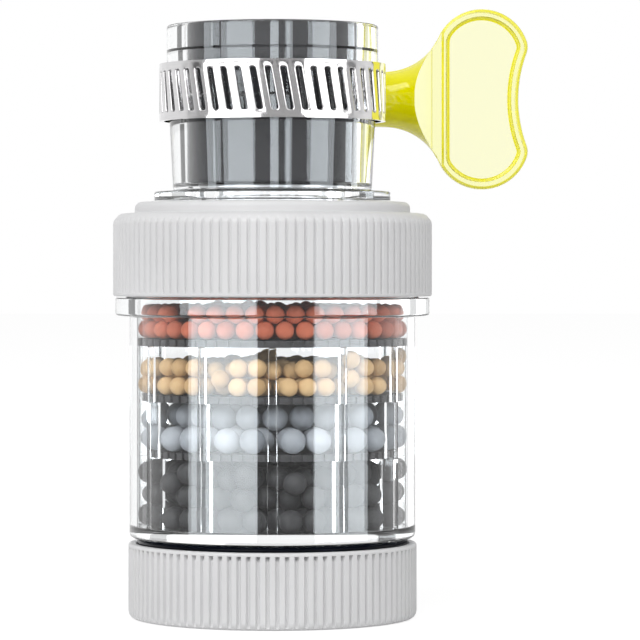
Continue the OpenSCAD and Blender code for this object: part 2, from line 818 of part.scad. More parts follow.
// Hub of the key: a round stem that flares into the wing, as a body turned about the key's axis
module hub_body() {
    rotate([0, 90, 0])
        rotate_extrude()
            difference() {
                union() {
                    polygon([[0, hub_x], [hub_start_r, hub_x], [hub_r, flare_x], [0, flare_x]]);
                    translate([0, flare_x - eps])
                        square([join.y, join.x - flare_x]);
                }
                translate([flare.y, flare.x])
                    circle(flare_r);
            }
}

// Thumb key of clear yellow plastic: hub, sloped cheeks and the wing with its panels
module thumb_key() {
    color([0.95, 0.92, 0.2, 0.6])
        translate([0, worm_y, band_z])
            difference() {
                union() {
                    intersection() {
                        hub_body();
                        linear_extrude(2 * wing_reach, center = true)
                            polygon([
                                [0, -stem_half], [apex_x - eps, -stem_half],
                                [apex_x, -cheek_half], [fold_x, -wing_t / 2],
                                [fold_x + cut, -wing_t / 2], [fold_x + cut, wing_t / 2],
                                [fold_x, wing_t / 2], [apex_x, cheek_half],
                                [apex_x - eps, stem_half], [0, stem_half]
                            ]);
                    }
                    rotate([90, 0, 0])
                        translate([0, 0, -wing_t / 2])
                            linear_extrude(wing_t)
                                wing_outline();
                }
                rotate([90, 0, 0])
                    panel_recess();
                rotate([-90, 0, 0])
                    panel_recess();
                rotate([0, 90, 0])
                    cylinder(r = shank_r + key_fit, h = shank_end + touch);
            }
}

lower_cap();
outlet_pad();
cap_o_ring();
housing();
black_beads();
lower_strainer();
white_beads();
middle_strainer();
tan_beads();
upper_strainer();
red_beads();
top_strainer();
housing_gasket();
ring_nut();
retaining_ring();
neck_o_ring();
collar();
inlet_screen();
rubber_sleeve();
clamp_band();
worm_housing();
worm_screw();
thumb_key();
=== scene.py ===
"""Looks of a clear cartridge filter that clamps onto a tap spout: finishes, moulded pieces and studio."""
import json
import math

import bmesh
import bpy
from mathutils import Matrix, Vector


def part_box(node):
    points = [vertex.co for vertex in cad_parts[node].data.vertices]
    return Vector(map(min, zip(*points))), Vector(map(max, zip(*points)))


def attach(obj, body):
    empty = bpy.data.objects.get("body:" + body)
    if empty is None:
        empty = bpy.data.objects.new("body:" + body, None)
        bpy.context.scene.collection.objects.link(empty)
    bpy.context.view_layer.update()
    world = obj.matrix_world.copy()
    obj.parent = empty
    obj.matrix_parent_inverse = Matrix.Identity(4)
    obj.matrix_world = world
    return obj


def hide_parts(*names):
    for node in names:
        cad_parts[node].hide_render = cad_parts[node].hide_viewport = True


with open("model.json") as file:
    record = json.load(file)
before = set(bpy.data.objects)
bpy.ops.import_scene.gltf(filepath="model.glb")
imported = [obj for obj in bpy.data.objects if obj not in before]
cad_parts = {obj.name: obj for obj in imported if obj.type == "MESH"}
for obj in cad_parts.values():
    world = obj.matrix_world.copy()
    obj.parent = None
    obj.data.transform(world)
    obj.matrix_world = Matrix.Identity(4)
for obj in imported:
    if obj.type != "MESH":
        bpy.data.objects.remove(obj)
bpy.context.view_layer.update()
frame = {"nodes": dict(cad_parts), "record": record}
nodes = frame["nodes"]
MM = 0.001


# Sizes in millimetres and degrees. Those that the frame can tell are read from it.

SAME = 0.001           # points closer than this are one
TOUCH = 0.05           # gap between pieces that seat on each other
ROUND_STEPS = 192      # steps of a turned body
CORNER_STEPS = 4       # steps of a rounded corner
SMOOTH_ANGLE = 32      # edges sharper than this stay sharp
RIB_SMOOTH_ANGLE = 60  # the same on ribbed walls, whose grooves are shaded round

# Roundings of moulded edges, from a crisp seat to a soft base

CRISP_ROUND = 0.05
SEAT_ROUND = 0.1
FINE_ROUND = 0.15
EDGE_ROUND = 0.2
RIM_ROUND = 0.25
END_ROUND = 0.3
CORNER_ROUND = 0.4
FLOOR_ROUND = 0.5
HEEL_ROUND = 0.6
LIP_ROUND = 0.8
BASE_ROUND = 1.0

# Ribbed caps

CAP_RIBS = 96
CAP_GROOVE_W = 0.53
CAP_GROOVE_DEPTH = 0.4
CAP_EDGE = 0.45        # plain edge at both ends of a groove
CAP_POCKET = 0.55      # how much deeper a groove is at its top end
POCKET_H = 0.6
NUT_RIBS = 108
NUT_GROOVE_W = 0.4
NUT_RIB_H = 0.26
NUT_EDGE = 0.4
NUT_RUN_OUT = 2.0      # the grooves would end this far above the ribs, so they run out in the shoulder
NUT_STEP_H = 1.5
NUT_STEP_IN = 2.9      # the raised step stands this far inside the ribs
NUT_TOP_T = 1.7
NUT_RECESS_IN = 2.2    # the recess round the retaining ring lies this far inside the housing's neck
NUT_SHOULDER_H = 1.3
NUT_SHOULDER = (       # the rolled shoulder, inwards from the ribs and up from their top
    (0, -0.2), (0.03, 0.1), (0.12, 0.35), (0.28, 0.55), (0.66, 1.0), (1.06, 1.22), (1.56, NUT_SHOULDER_H))
GROOVE_STEPS = 12      # columns of a cap's wall for each rib
GROOVE_SPREAD = 0.56   # how far a groove's soft edge reaches, as a share of its width
GROOVE_FLAT = 0.5      # flat share of a groove's floor
GROOVE_END = 2.2       # how much steeper a groove's ends are than its sides
END_ROWS = 4           # rows of a wall for each width of a groove, near the groove's end
ROWS_BEFORE = 3        # rows before that end
ROWS_AFTER = 7
ROW_GAP = 0.08         # least height between a wall's rounding and its first row
HOLE_RINGS = 3
HOLE_R = 0.7
HOLE_SIDES = 20
HOLE_SPACING = 3.5
HOLE_TURN = 15         # each ring of holes is turned this much further
DRILL_PAST = 1.0

# Clear tube

THREAD_CLEAR = 0.25    # gap between a cap's bore and its neck
PAD_CLEAR = 0.15       # gap round the felt pad
DISC_CLEAR = 0.06      # gap round a strainer disc
GASKET_INSET = 0.1     # the gasket ends this far inside its neck
TUBE_WALL = 1.07
TUBE_FLOOR_T = 1.55
LIP_H = 2.4
LIP_LOW_ROUND = 0.35
LIP_TOP_ROUND = 0.18
FOOT_WALL = 1.6
THREAD_PITCH = 3.0
THREAD_H = 0.16
CREST_HALF = 0.6       # half height of a thread's crest at its root
CREST_SHOULDER = 0.35  # half height of it where it stands out by the next share
CREST_SHARE = 0.6
THREAD_IN = 1.2        # a thread starts this far inside a neck's open end
FOOT_THREAD_END = 2.0
NECK_THREAD_END = 1.6
RIBS = 12
RIB_STEP = 0.6
RIB_SEATS = (("lower_strainer", 1.3), ("middle_strainer", 1.15), ("upper_strainer", 1.0))  # seat and width
RIB_ROOT = 0.5         # how far a rib is rooted in the wall and in the floor
RIB_ROUND = 0.13

# Collar, sleeve and screen

FLANGE_OUT = 1.66      # how far the flange stands out past the mouth
FLANGE_T = 1.2
COLLAR_DRAFT = 0.85
COLLAR_WALL = 2.6
COLLAR_TAPER_H = 17.3
COLLAR_FLOOR_T = 2.0
WAY_R = 7.5
LEAD_IN = 0.25         # the bore is this much wider at the mouth
LEAD_IN_H = 3.2
LEAD_IN_SLOPE = 0.3
MARK_DROP = 0.65       # the fine line round the collar lies this far under the band's middle
MARK_DEPTH = 0.12
MARK_HALF = 0.14
MARK_ROUND = 0.04
SEAL_PROUD = 0.03      # the neck's seal stands out this far
NECK_SEAL_H = 1.0
NECK_SEAL_DEPTH = 0.92
RING_GROOVE_DEPTH = 0.8
SLEEVE_WALL = 2.35
WIRE_R = 0.14
WIRE_SIDES = 6
WIRE_PARTS = 3         # parts of a wire in each pitch
WIRE_PITCH = 0.9
WIRE_END = 0.2         # the wires end this far inside the rim's outside
WIRE_SMOOTH_ANGLE = 70
SCREEN_RIM_W = 0.5
SCREEN_STEPS = 96

# Clamp

BAND_T = 0.64
BAND_OUT_R = 15.09     # outer radius of the band where it is a single layer
BAND_EDGE_ROUND = 0.12
SLOTS = 47             # slots that a full turn of the band would hold
FIRST_SLOT = -20
LAST_SLOT = 29
SLOT_PHASE = -0.5      # where the slot nearest the front lies
SLOT_W = 0.82
SLOT_LEN = 5.5
SLOT_LEAN = 1.0
SLOT_ROUND = 0.28
SLOT_CORNER = (0, 30, 60, 90)
COINED = ((0.2, 0), (0.13, 0.015), (0.05, 0.06), (0, 0.15))  # a slot's front edge: out from it, and depth
PUNCHED = 0.06         # break of its back edge
BAND_START = 76        # directions round the band, from its fixed end
BAND_LEAVE = 390       # to where it starts to rise
LAP_END = 432          # to where it lies over its own end
TAIL_END = 500
FRONT_TURN = 270       # the direction of the band's front
LAYER_GAP = 0.03
ON_LINE = 0.01         # how near to a line an edge counts as on it
SADDLE_ROUND = 0.14
FLAT_ANGLE = 1         # the solid's faces that turn less than this against each other are one

# Thumb key: x from the filter's axis, z from the key's axis

WING_REACH = 35.3
WING_T = 2.6
WING_ROUND = 0.45
WING_RIM = 1.02
FLARE_X = 15.5
FLARE_SINK = 0.04      # the wing runs this far inside the flared stem
HUB_R = 3.85
HUB_TAPER = 0.3
STEM_STEPS = 96
KEY_SMOOTH_ANGLE = 30
LOBE_R = 6.6
LOBE_Z = 5.87
CORNER_R = 2.6
CORNER_ANGLE = 20
WAIST_DIP = 1.3
PANEL_DEPTH = 0.6
PANEL_ROUND = 0.5
PANEL_X = 24.02
PANEL_CORNER = 2.3
FOLD_X = 22.0
FOLD_BLUR = 0.2        # half width over which the stem's deeper lemon and the cheeks' painted glow change at the fold
RIDGE_X = 23.68        # the flat beside the fold lies a little lower up to here
RIDGE_H = 0.16
RIDGE_SLOPE = 0.25
APEX_X = 19.5
APEX_EDGE = 0.2
CHEEK_HALF = 4.8
CHEEK_ROOT = 0.3       # the cheeks' slopes run on inside the wing down to this half thickness
CUT_PAST = 2.0         # how far a cutting body reaches past what it cuts
SHANK_R = 2.02
SHANK_SIDES = 48
SHANK_END = 13.0


# Shader maths

class Signal:
    """A value that varies over a surface. Arithmetic on it adds Math nodes to its finish."""

    def __init__(self, finish, socket):
        self.finish = finish
        self.socket = socket

    def math(self, operation, *values):
        return self.finish.node("ShaderNodeMath", {"operation": operation}, dict(enumerate(values)))

    def __add__(self, other):
        return self.math("ADD", self, other)

    def __sub__(self, other):
        return self.math("SUBTRACT", self, other)

    def __rsub__(self, other):
        return self.math("SUBTRACT", other, self)

    def __mul__(self, other):
        return self.math("MULTIPLY", self, other)

    __radd__ = __add__
    __rmul__ = __mul__

    def size(self):
        """The value without its sign."""
        return self.math("ABSOLUTE", self)

    def clamped(self):
        """The value held between 0 and 1."""
        return self.finish.node("ShaderNodeClamp", {}, {"Value": self})

    def step(self, low, high):
        """0 below low, 1 above high and a smooth rise between."""
        return self.finish.node(
            "ShaderNodeMapRange", {"interpolation_type": "SMOOTHSTEP"},
            {"Value": self, "From Min": low, "From Max": high})


class Finish:
    """The node tree of one material, or of the world where one is given."""

    def __init__(self, name, world=None):
        self.holder = world or bpy.data.materials.new(name)
        self.output = "ShaderNodeOutputWorld" if world else "ShaderNodeOutputMaterial"
        self.holder.use_nodes = True
        self.tree = self.holder.node_tree
        self.tree.nodes.clear()

    def node(self, kind, settings=None, inputs=None, output=0):
        """Adds a node, with its settings first and then its sockets, and gives one of its outputs."""
        made = self.tree.nodes.new(kind)
        for name, value in (settings or {}).items():
            setattr(made, name, value)
        for name, value in (inputs or {}).items():
            if isinstance(value, Signal):
                self.tree.links.new(value.socket, made.inputs[name])
            else:
                made.inputs[name].default_value = value
        return Signal(self, made.outputs[output]) if made.outputs else None

    def place(self):
        """Object coordinates, in metres."""
        return self.node("ShaderNodeTexCoord", output="Object")

    def part(self, vector, axis):
        """One coordinate of a vector: 0, 1 or 2."""
        return self.node("ShaderNodeSeparateXYZ", {}, {0: vector}, output=axis)

    def ray(self, kind):
        """1 on rays of one kind, such as Camera, and 0 on all others."""
        return self.node("ShaderNodeLightPath", output=f"Is {kind} Ray")

    def noise(self, scale, detail=2.0, roughness=0.5, vector=None):
        """Soft noise from 0 to 1, with scale in features per metre."""
        return self.node(
            "ShaderNodeTexNoise", {},
            {"Vector": vector or self.place(), "Scale": scale, "Detail": detail, "Roughness": roughness})

    def stretched(self, x, y, z):
        """Object coordinates scaled apart along each axis."""
        return self.node("ShaderNodeMapping", {}, {"Vector": self.place(), "Scale": (x, y, z)})

    def blend(self, share, first, second):
        """A colour between two colours."""
        return self.node(
            "ShaderNodeMix", {"data_type": "RGBA"}, {"Factor": share, 6: first, 7: second}, output=2)

    def mixed(self, share, first, second):
        """A shader between two shaders."""
        return self.node("ShaderNodeMixShader", {}, {0: share, 1: first, 2: second})

    def bump(self, height, distance, strength):
        return self.node(
            "ShaderNodeBump", {}, {"Height": height, "Distance": distance, "Strength": strength})

    def surface(self, **sockets):
        """The Principled shader with the sockets given, underscores for spaces."""
        named = {name.replace("_", " "): value for name, value in sockets.items()}
        return self.node("ShaderNodeBsdfPrincipled", {}, named)

    def done(self, shader, inside=None):
        """Joins the shader, and what fills the inside of a clear piece, to the output."""
        sockets = {"Surface": shader}
        if inside:
            sockets["Volume"] = inside
        self.node(self.output, {}, sockets)
        return self.holder


def rgb(red, green, blue):
    """A colour socket's value from 8-bit screen values, by the screen's own curve."""
    def linear(value):
        value = value / 255
        return value / 12.92 if value <= 0.04045 else ((value + 0.055) / 1.055) ** 2.4
    return (linear(red), linear(green), linear(blue), 1.0)


# Finishes

BLACK = (0.0, 0.0, 0.0, 1.0)
WHITE = (1.0, 1.0, 1.0, 1.0)
POLISHED_CLEAR = {"Roughness": 0.0, "IOR": 1.49, "Transmission_Weight": 1.0}


def moulded_plastic(name):
    """Light warm grey moulded plastic with the fine grain of a spark-worn mould."""
    f = Finish(name)
    cloud = f.noise(scale=90, detail=3)
    grain = f.noise(scale=5200)
    return f.done(f.surface(
        Base_Color=f.blend(cloud.step(0.3, 0.7), rgb(217, 217, 218), rgb(222, 222, 223)),
        Roughness=0.42 + 0.1 * cloud,
        Normal=f.bump(grain, distance=0.02 * MM, strength=0.4),
    ))


def clear_shell(f, shader, tint, inside=None):
    """Lets the lamps shine through a clear shader, tinted."""
    passing = f.node("ShaderNodeBsdfTransparent", {}, {"Color": tint})
    return f.done(f.mixed(f.ray("Shadow"), shader, passing), inside)


def clear_plastic():
    """Polished clear plastic, a trace blue in its thick edges."""
    f = Finish("clear_plastic")
    wave = f.noise(scale=110, detail=1)
    shader = f.surface(
        Base_Color=(0.985, 0.995, 1.0, 1.0),
        Normal=f.bump(wave, distance=0.01 * MM, strength=0.3),
        **POLISHED_CLEAR)
    return clear_shell(f, shader, tint=(0.97, 0.985, 0.99, 1.0))


def yellow_plastic():
    """Clear lemon-yellow plastic, deeper in its thick stem, with painted edge light along its outlines and a
    painted glow on its cheeks.
    """
    f = Finish("yellow_plastic")
    wave = f.noise(scale=120, detail=1)
    clear = f.surface(
        Base_Color=(1.0, 1.0, 0.97, 1.0),
        Normal=f.bump(wave, distance=0.012 * MM, strength=0.3),
        **POLISHED_CLEAR)
    along = f.part(f.place(), 0)
    facing = f.node("ShaderNodeTexCoord", output="Normal")
    stem = 1 - along.step((FOLD_X - FOLD_BLUR) * MM, (FOLD_X + FOLD_BLUR) * MM)
    # Cheeks: the stem's faces that turn sideways get a pale base and a pale painted glow, emitted light that
    # stands in for the white seen through the clear plastic.
    cheek = stem * f.part(facing, 0).step(0.6, 0.75)
    # Painted edge light: a lemon rim where a surface turns away from the flat faces, standing in for light
    # that the clear plastic carries to its edges.
    aside = 1 - f.part(facing, 1).size()
    bent, steep, edge_on = aside.step(0.003, 0.03), aside.step(0.25, 0.4), aside.step(0.8, 1.0)
    outline = bent - 0.45 * steep + 0.3 * edge_on
    lemon = f.blend(wave, (0.84, 0.78, 0.0, 1.0), (0.92, 0.86, 0.0, 1.0))
    pale = (1.0, 1.0, 0.62, 1.0)
    # The lemon surface of the painted edge light, which is pale and glows with painted light on the cheeks.
    glow = f.surface(
        Base_Color=f.blend(cheek, lemon, pale),
        Roughness=0.05,
        Emission_Color=f.blend(cheek, BLACK, pale),
        Emission_Strength=0.2,
    )
    # How much of the clear plastic gives way to the stem's deeper lemon, the painted cheek glow and the
    # painted edge light.
    share = (0.03 + 0.72 * stem + 0.18 * cheek + 0.85 * outline).clamped()
    depth = f.node("ShaderNodeVolumeAbsorption", {}, {"Color": (0.99, 0.99, 0.0, 1.0), "Density": 210.0})
    return clear_shell(f, f.mixed(share, clear, glow), tint=(0.96, 0.95, 0.7, 1.0), inside=depth)


def fired_bead(name, dark, pale, speck, roughness):
    """Fired balls that differ a little from each other, with fine specks and pores."""
    f = Finish(name)
    ball = f.node("ShaderNodeNewGeometry", output="Random Per Island")
    cloud = f.noise(scale=700, detail=3)
    pores = f.noise(scale=4200, detail=3, roughness=0.65)
    clay = f.blend((0.65 * ball + 0.35 * cloud).clamped(), dark, pale)
    return f.done(f.surface(
        Base_Color=f.blend(0.35 * pores.step(0.58, 0.72), clay, speck),
        Roughness=roughness - 0.12 * pores,
        Normal=f.bump(pores, distance=0.03 * MM, strength=0.5),
    ))


def dark_plastic():
    """Matt charcoal moulded plastic."""
    f = Finish("dark_plastic")
    cloud = f.noise(scale=160, detail=3)
    return f.done(f.surface(
        Base_Color=f.blend(cloud, rgb(34, 33, 35), rgb(46, 45, 47)),
        Roughness=0.42 + 0.16 * cloud,
        Normal=f.bump(f.noise(scale=3600), distance=0.02 * MM, strength=0.5),
    ))


def sleeve_rubber():
    """Smooth charcoal rubber."""
    f = Finish("sleeve_rubber")
    cloud = f.noise(scale=140, detail=3)
    return f.done(f.surface(
        Base_Color=f.blend(cloud, rgb(30, 29, 32), rgb(40, 39, 42)),
        Specular_IOR_Level=0.25,
        Roughness=0.55 + 0.14 * cloud,
        Normal=f.bump(f.noise(scale=2600), distance=0.02 * MM, strength=0.5),
    ))


def seal_rubber():
    """Black rubber with a blue cast, as smooth as the mould that it comes from."""
    f = Finish("seal_rubber")
    cloud = f.noise(scale=300)
    return f.done(f.surface(
        Base_Color=f.blend(cloud, rgb(5, 7, 14), rgb(11, 14, 24)),
        Specular_IOR_Level=0.1,
        Roughness=0.2 + 0.1 * cloud,
    ))


def steel(name, dark, pale, roughness, grain):
    """Stainless steel: fine grain, with its features per metre along each axis, and a few faint rubs."""
    f = Finish(name)
    lines = f.noise(scale=1.0, roughness=0.6, vector=f.stretched(*grain))
    rubs = f.noise(scale=420, detail=4, roughness=0.7)
    return f.done(f.surface(
        Base_Color=f.blend(lines, dark, pale),
        Metallic=1.0,
        Roughness=roughness + 0.1 * rubs.step(0.5, 0.8) + 0.06 * lines,
        Normal=f.bump(lines, distance=0.004 * MM, strength=0.4),
    ))


def felt():
    """White fibre pad."""
    f = Finish("felt")
    fibres = f.noise(scale=2600, detail=4, roughness=0.7)
    return f.done(f.surface(
        Base_Color=f.blend(fibres, rgb(214, 213, 208), rgb(246, 246, 243)),
        Roughness=0.92,
        Normal=f.bump(fibres, distance=0.15 * MM, strength=0.8),
    ))


FINISHES = {
    "cap_plastic": moulded_plastic("cap_plastic"),
    "clear_plastic": clear_plastic(),
    "yellow_plastic": yellow_plastic(),
    "dark_plastic": dark_plastic(),
    "ring_plastic": moulded_plastic("ring_plastic"),
    "red_bead": fired_bead("red_bead", rgb(162, 76, 50), rgb(208, 112, 79), rgb(220, 144, 114), 0.78),
    "tan_bead": fired_bead("tan_bead", rgb(164, 128, 82), rgb(214, 180, 132), rgb(230, 208, 174), 0.8),
    "white_bead": fired_bead("white_bead", rgb(108, 113, 120), rgb(174, 178, 184), rgb(196, 199, 204), 0.6),
    "black_bead": fired_bead("black_bead", rgb(27, 26, 28), rgb(46, 45, 47), rgb(74, 73, 76), 0.6),
    "felt": felt(),
    "seal_rubber": seal_rubber(),
    "sleeve_rubber": sleeve_rubber(),
    "screen_steel": steel("screen_steel", rgb(170, 170, 172), rgb(206, 206, 208), 0.26, (900, 900, 900)),
    "band_steel": steel("band_steel", rgb(206, 205, 206), rgb(224, 223, 224), 0.06, (300, 300, 6000)),
    "screw_steel": steel("screw_steel", rgb(176, 176, 178), rgb(204, 204, 206), 0.2, (4000, 500, 500)),
}
SLOT_OF = {part["node"]: part["material_slot"] for part in frame["record"]["subparts"]}
BODY_OF = {node: body for body, names in frame["record"]["behaviour"]["bodies"].items() for node in names}


def dress(piece, slot):
    """Gives a piece one finish all over."""
    piece.data.materials.clear()
    piece.data.materials.append(FINISHES[slot])


for node, slot in SLOT_OF.items():
    dress(nodes[node], slot)


# Modelling by hand, in millimetres up to the operators

def low(node):
    return Vector(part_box(node)[0]) / MM


def high(node):
    return Vector(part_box(node)[1]) / MM


def middle(node):
    return (low(node) + high(node)) / 2


def turned_to(degrees, radius=1.0):
    return radius * math.cos(math.radians(degrees)), radius * math.sin(math.radians(degrees))


def eased(share):
    """A share held between 0 and 1, with a soft start and end."""
    share = min(1, max(0, share))
    return share * share * (3 - 2 * share)


def named(name):
    piece = bpy.context.object
    piece.name = name
    piece.data.name = name
    return piece


def only(piece):
    """Selects one piece alone."""
    bpy.ops.object.select_all(action="DESELECT")
    piece.select_set(True)
    bpy.context.view_layer.objects.active = piece


def edit(piece):
    """Opens a piece in edit mode with all of it selected."""
    only(piece)
    bpy.ops.object.mode_set(mode="EDIT")
    bpy.ops.mesh.select_mode(type="VERT")
    bpy.ops.mesh.select_all(action="SELECT")


def pick(piece, items, test):
    """Selects the verts or edges that pass a test, in edit mode."""
    bpy.ops.mesh.select_all(action="DESELECT")
    mesh = bmesh.from_edit_mesh(piece.data)
    for item in getattr(mesh, items):
        item.select_set(test(item))
    mesh.select_flush(True)
    bmesh.update_edit_mesh(piece.data)


def place_picked(piece, where):
    """Moves each selected vertex to where a formula puts it."""
    mesh = bmesh.from_edit_mesh(piece.data)
    for vertex in mesh.verts:
        if vertex.select:
            vertex.co = Vector(where(*(vertex.co / MM))) * MM
    bmesh.update_edit_mesh(piece.data)


def moved(piece, shift):
    """Moves a piece's mesh inside its object."""
    edit(piece)
    bpy.ops.transform.translate(value=Vector(shift) * MM)
    bpy.ops.object.mode_set(mode="OBJECT")


def smoothed(piece, angle=SMOOTH_ANGLE):
    only(piece)
    bpy.ops.object.shade_smooth_by_angle(angle=math.radians(angle))
    return piece


def closed_up(piece):
    """Merges seams and poles, turns all faces outwards and smooths the shading."""
    edit(piece)
    bpy.ops.mesh.remove_doubles(threshold=SAME * MM)
    bpy.ops.mesh.normals_make_consistent(inside=False)
    bpy.ops.object.mode_set(mode="OBJECT")
    return smoothed(piece)


def applied(piece, kind, **settings):
    """Adds a modifier with its settings and applies it."""
    only(piece)
    modifier = piece.modifiers.new(kind.lower(), kind)
    for name, value in settings.items():
        setattr(modifier, name, value)
    bpy.ops.object.modifier_apply(modifier=modifier.name)
    return piece


def repeated(piece, count, step, threshold):
    """Repeats a piece along a step and merges what meets."""
    return applied(
        piece, "ARRAY", count=count, use_relative_offset=False, use_constant_offset=True,
        constant_offset_displace=Vector(step) * MM, use_merge_vertices=True, merge_threshold=threshold * MM)


def joined(pieces):
    bpy.ops.object.select_all(action="DESELECT")
    for piece in pieces:
        piece.select_set(True)
    bpy.context.view_layer.objects.active = pieces[0]
    bpy.ops.object.join()
    return pieces[0]


def combined(piece, operation, tool):
    """Cuts, adds or intersects a tool body, which is used up."""
    applied(piece, "BOOLEAN", operation=operation, object=tool, solver="EXACT")
    bpy.data.objects.remove(tool)
    return smoothed(piece)


def softened(piece, width, steps=2, angle=35, clamped=True):
    """Rounds the edges that are sharper than an angle."""
    applied(piece, "BEVEL", width=width * MM, segments=steps, limit_method="ANGLE",
            angle_limit=math.radians(angle), use_clamp_overlap=clamped)
    return smoothed(piece)


def drawn(name, points):
    """A closed outline through points, each with a rounding as its optional fourth number."""
    bpy.ops.object.select_all(action="DESELECT")
    bpy.ops.mesh.primitive_plane_add(size=MM)
    piece = named(name)
    edit(piece)
    bpy.ops.mesh.merge(type="CENTER")
    places = [Vector(point[:3]) * MM for point in points]
    bpy.ops.transform.translate(value=places[0])
    for start, end in zip(places, places[1:]):
        bpy.ops.mesh.extrude_vertices_move(TRANSFORM_OT_translate={"value": end - start})
    bpy.ops.mesh.select_all(action="SELECT")
    bpy.ops.mesh.edge_face_add()
    bpy.ops.mesh.delete(type="ONLY_FACE")
    for place, point in zip(places, points):
        if len(point) > 3:
            pick(piece, "verts", lambda v: (v.co - place).length < SAME * MM)
            bpy.ops.mesh.bevel(offset=point[3] * MM, segments=CORNER_STEPS, affect="VERTICES")
    bpy.ops.mesh.select_all(action="SELECT")
    return piece


def turned(name, corners, steps=ROUND_STEPS):
    """A body turned about the filter's axis, from corners of radius, height and rounding."""
    piece = drawn(name, [(corner[0], 0, *corner[1:]) for corner in corners])
    bpy.ops.object.mode_set(mode="OBJECT")
    applied(piece, "SCREW", axis="Z", steps=steps, render_steps=steps, use_merge_vertices=True,
            merge_threshold=SAME * MM)
    return closed_up(piece)


def extruded(name, points, depth):
    """A body with a drawn outline, as thick as the vector depth."""
    piece = drawn(name, points)
    bpy.ops.mesh.edge_face_add()
    bpy.ops.mesh.extrude_region_move(TRANSFORM_OT_translate={"value": Vector(depth) * MM})
    bpy.ops.object.mode_set(mode="OBJECT")
    return closed_up(piece)


def stands_for(piece, node):
    """A modelled piece takes its solid's place, body and finish, with flat faces shaded flat."""
    applied(piece, "WEIGHTED_NORMAL", keep_sharp=True, weight=100)
    dress(piece, SLOT_OF[node])
    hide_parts(node)
    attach(piece, BODY_OF[node])


# Ribbed caps

def groove_rows(edge, width, rounding):
    """Distances from a wall's end at which a groove's rounded end needs rows, past the wall's rounding."""
    steps = [edge + width * k / END_ROWS for k in range(-ROWS_BEFORE, ROWS_AFTER + 1)]
    return [step for step in steps if step > rounding + ROW_GAP]


def grooved(piece, wall_r, floor_r, count, width, z1, z2, pocket=0.0):
    """Presses soft-edged grooves between two heights of a turned wall, with a pocket at each top end."""
    reach = GROOVE_SPREAD * width
    first_z, last_z = z1 + width / END_ROWS, z2 - width / END_ROWS
    for vertex in piece.data.vertices:
        x, y, z = vertex.co / MM
        radius = math.hypot(x, y)
        if radius > floor_r:
            turn = math.atan2(y, x) / (2 * math.pi) * count
            across = (turn - math.floor(turn) - 0.5) * 2 * math.pi * wall_r / count
            past_end = GROOVE_END * max(first_z - z, z - last_z, 0)
            share = 1 - (math.hypot(across, past_end) / reach - GROOVE_FLAT) / (1 - GROOVE_FLAT)
            near_top = min(1, max(0, 1 - (last_z - z) / POCKET_H))
            depth = wall_r - floor_r + pocket * near_top
            scale = max(wall_r - depth, radius - depth * eased(share)) / radius
            vertex.co.x *= scale
            vertex.co.y *= scale
    return smoothed(piece, RIB_SMOOTH_ANGLE)


def drilled(piece, z1, z2):
    """Drills water holes in rings, six more in each ring."""
    pins = []
    for ring in range(1, HOLE_RINGS + 1):
        holes = 6 * ring
        for k in range(holes):
            x, y = turned_to(HOLE_TURN * ring + 360 * k / holes, ring * HOLE_SPACING * MM)
            bpy.ops.mesh.primitive_cylinder_add(
                vertices=HOLE_SIDES, radius=HOLE_R * MM, depth=(z2 - z1) * MM,
                location=(x, y, (z1 + z2) / 2 * MM))
            pins.append(bpy.context.object)
    return combined(piece, "DIFFERENCE", joined(pins))


def ribbed_cap():
    """Lower cap: soft ribs outside, the seal's seat inside and the spray outlet in its floor."""
    cap_r, cap_h = high("lower_cap").x, high("lower_cap").z
    floor_z = low("outlet_pad").z - TOUCH
    bore_r = high("outlet_pad").x + PAD_CLEAR
    seat_r, seat_z = high("cap_o_ring").x + TOUCH, low("cap_o_ring").z - TOUCH
    wall = [(cap_r, up) for up in groove_rows(CAP_EDGE, CAP_GROOVE_W, BASE_ROUND)]
    wall += [(cap_r, cap_h - down) for down in reversed(groove_rows(CAP_EDGE, CAP_GROOVE_W, END_ROUND))]
    piece = turned("ribbed_cap", [
        (0, 0), (cap_r, 0, BASE_ROUND), *wall, (cap_r, cap_h, END_ROUND), (seat_r, cap_h, EDGE_ROUND),
        (seat_r, seat_z), (bore_r, seat_z, FINE_ROUND), (bore_r, floor_z, FLOOR_ROUND), (0, floor_z)],
        CAP_RIBS * GROOVE_STEPS)
    grooved(piece, cap_r, cap_r - CAP_GROOVE_DEPTH, CAP_RIBS, CAP_GROOVE_W, CAP_EDGE, cap_h - CAP_EDGE,
            CAP_POCKET)
    drilled(piece, -DRILL_PAST, floor_z + DRILL_PAST)
    smoothed(piece, RIB_SMOOTH_ANGLE)
    stands_for(piece, "lower_cap")


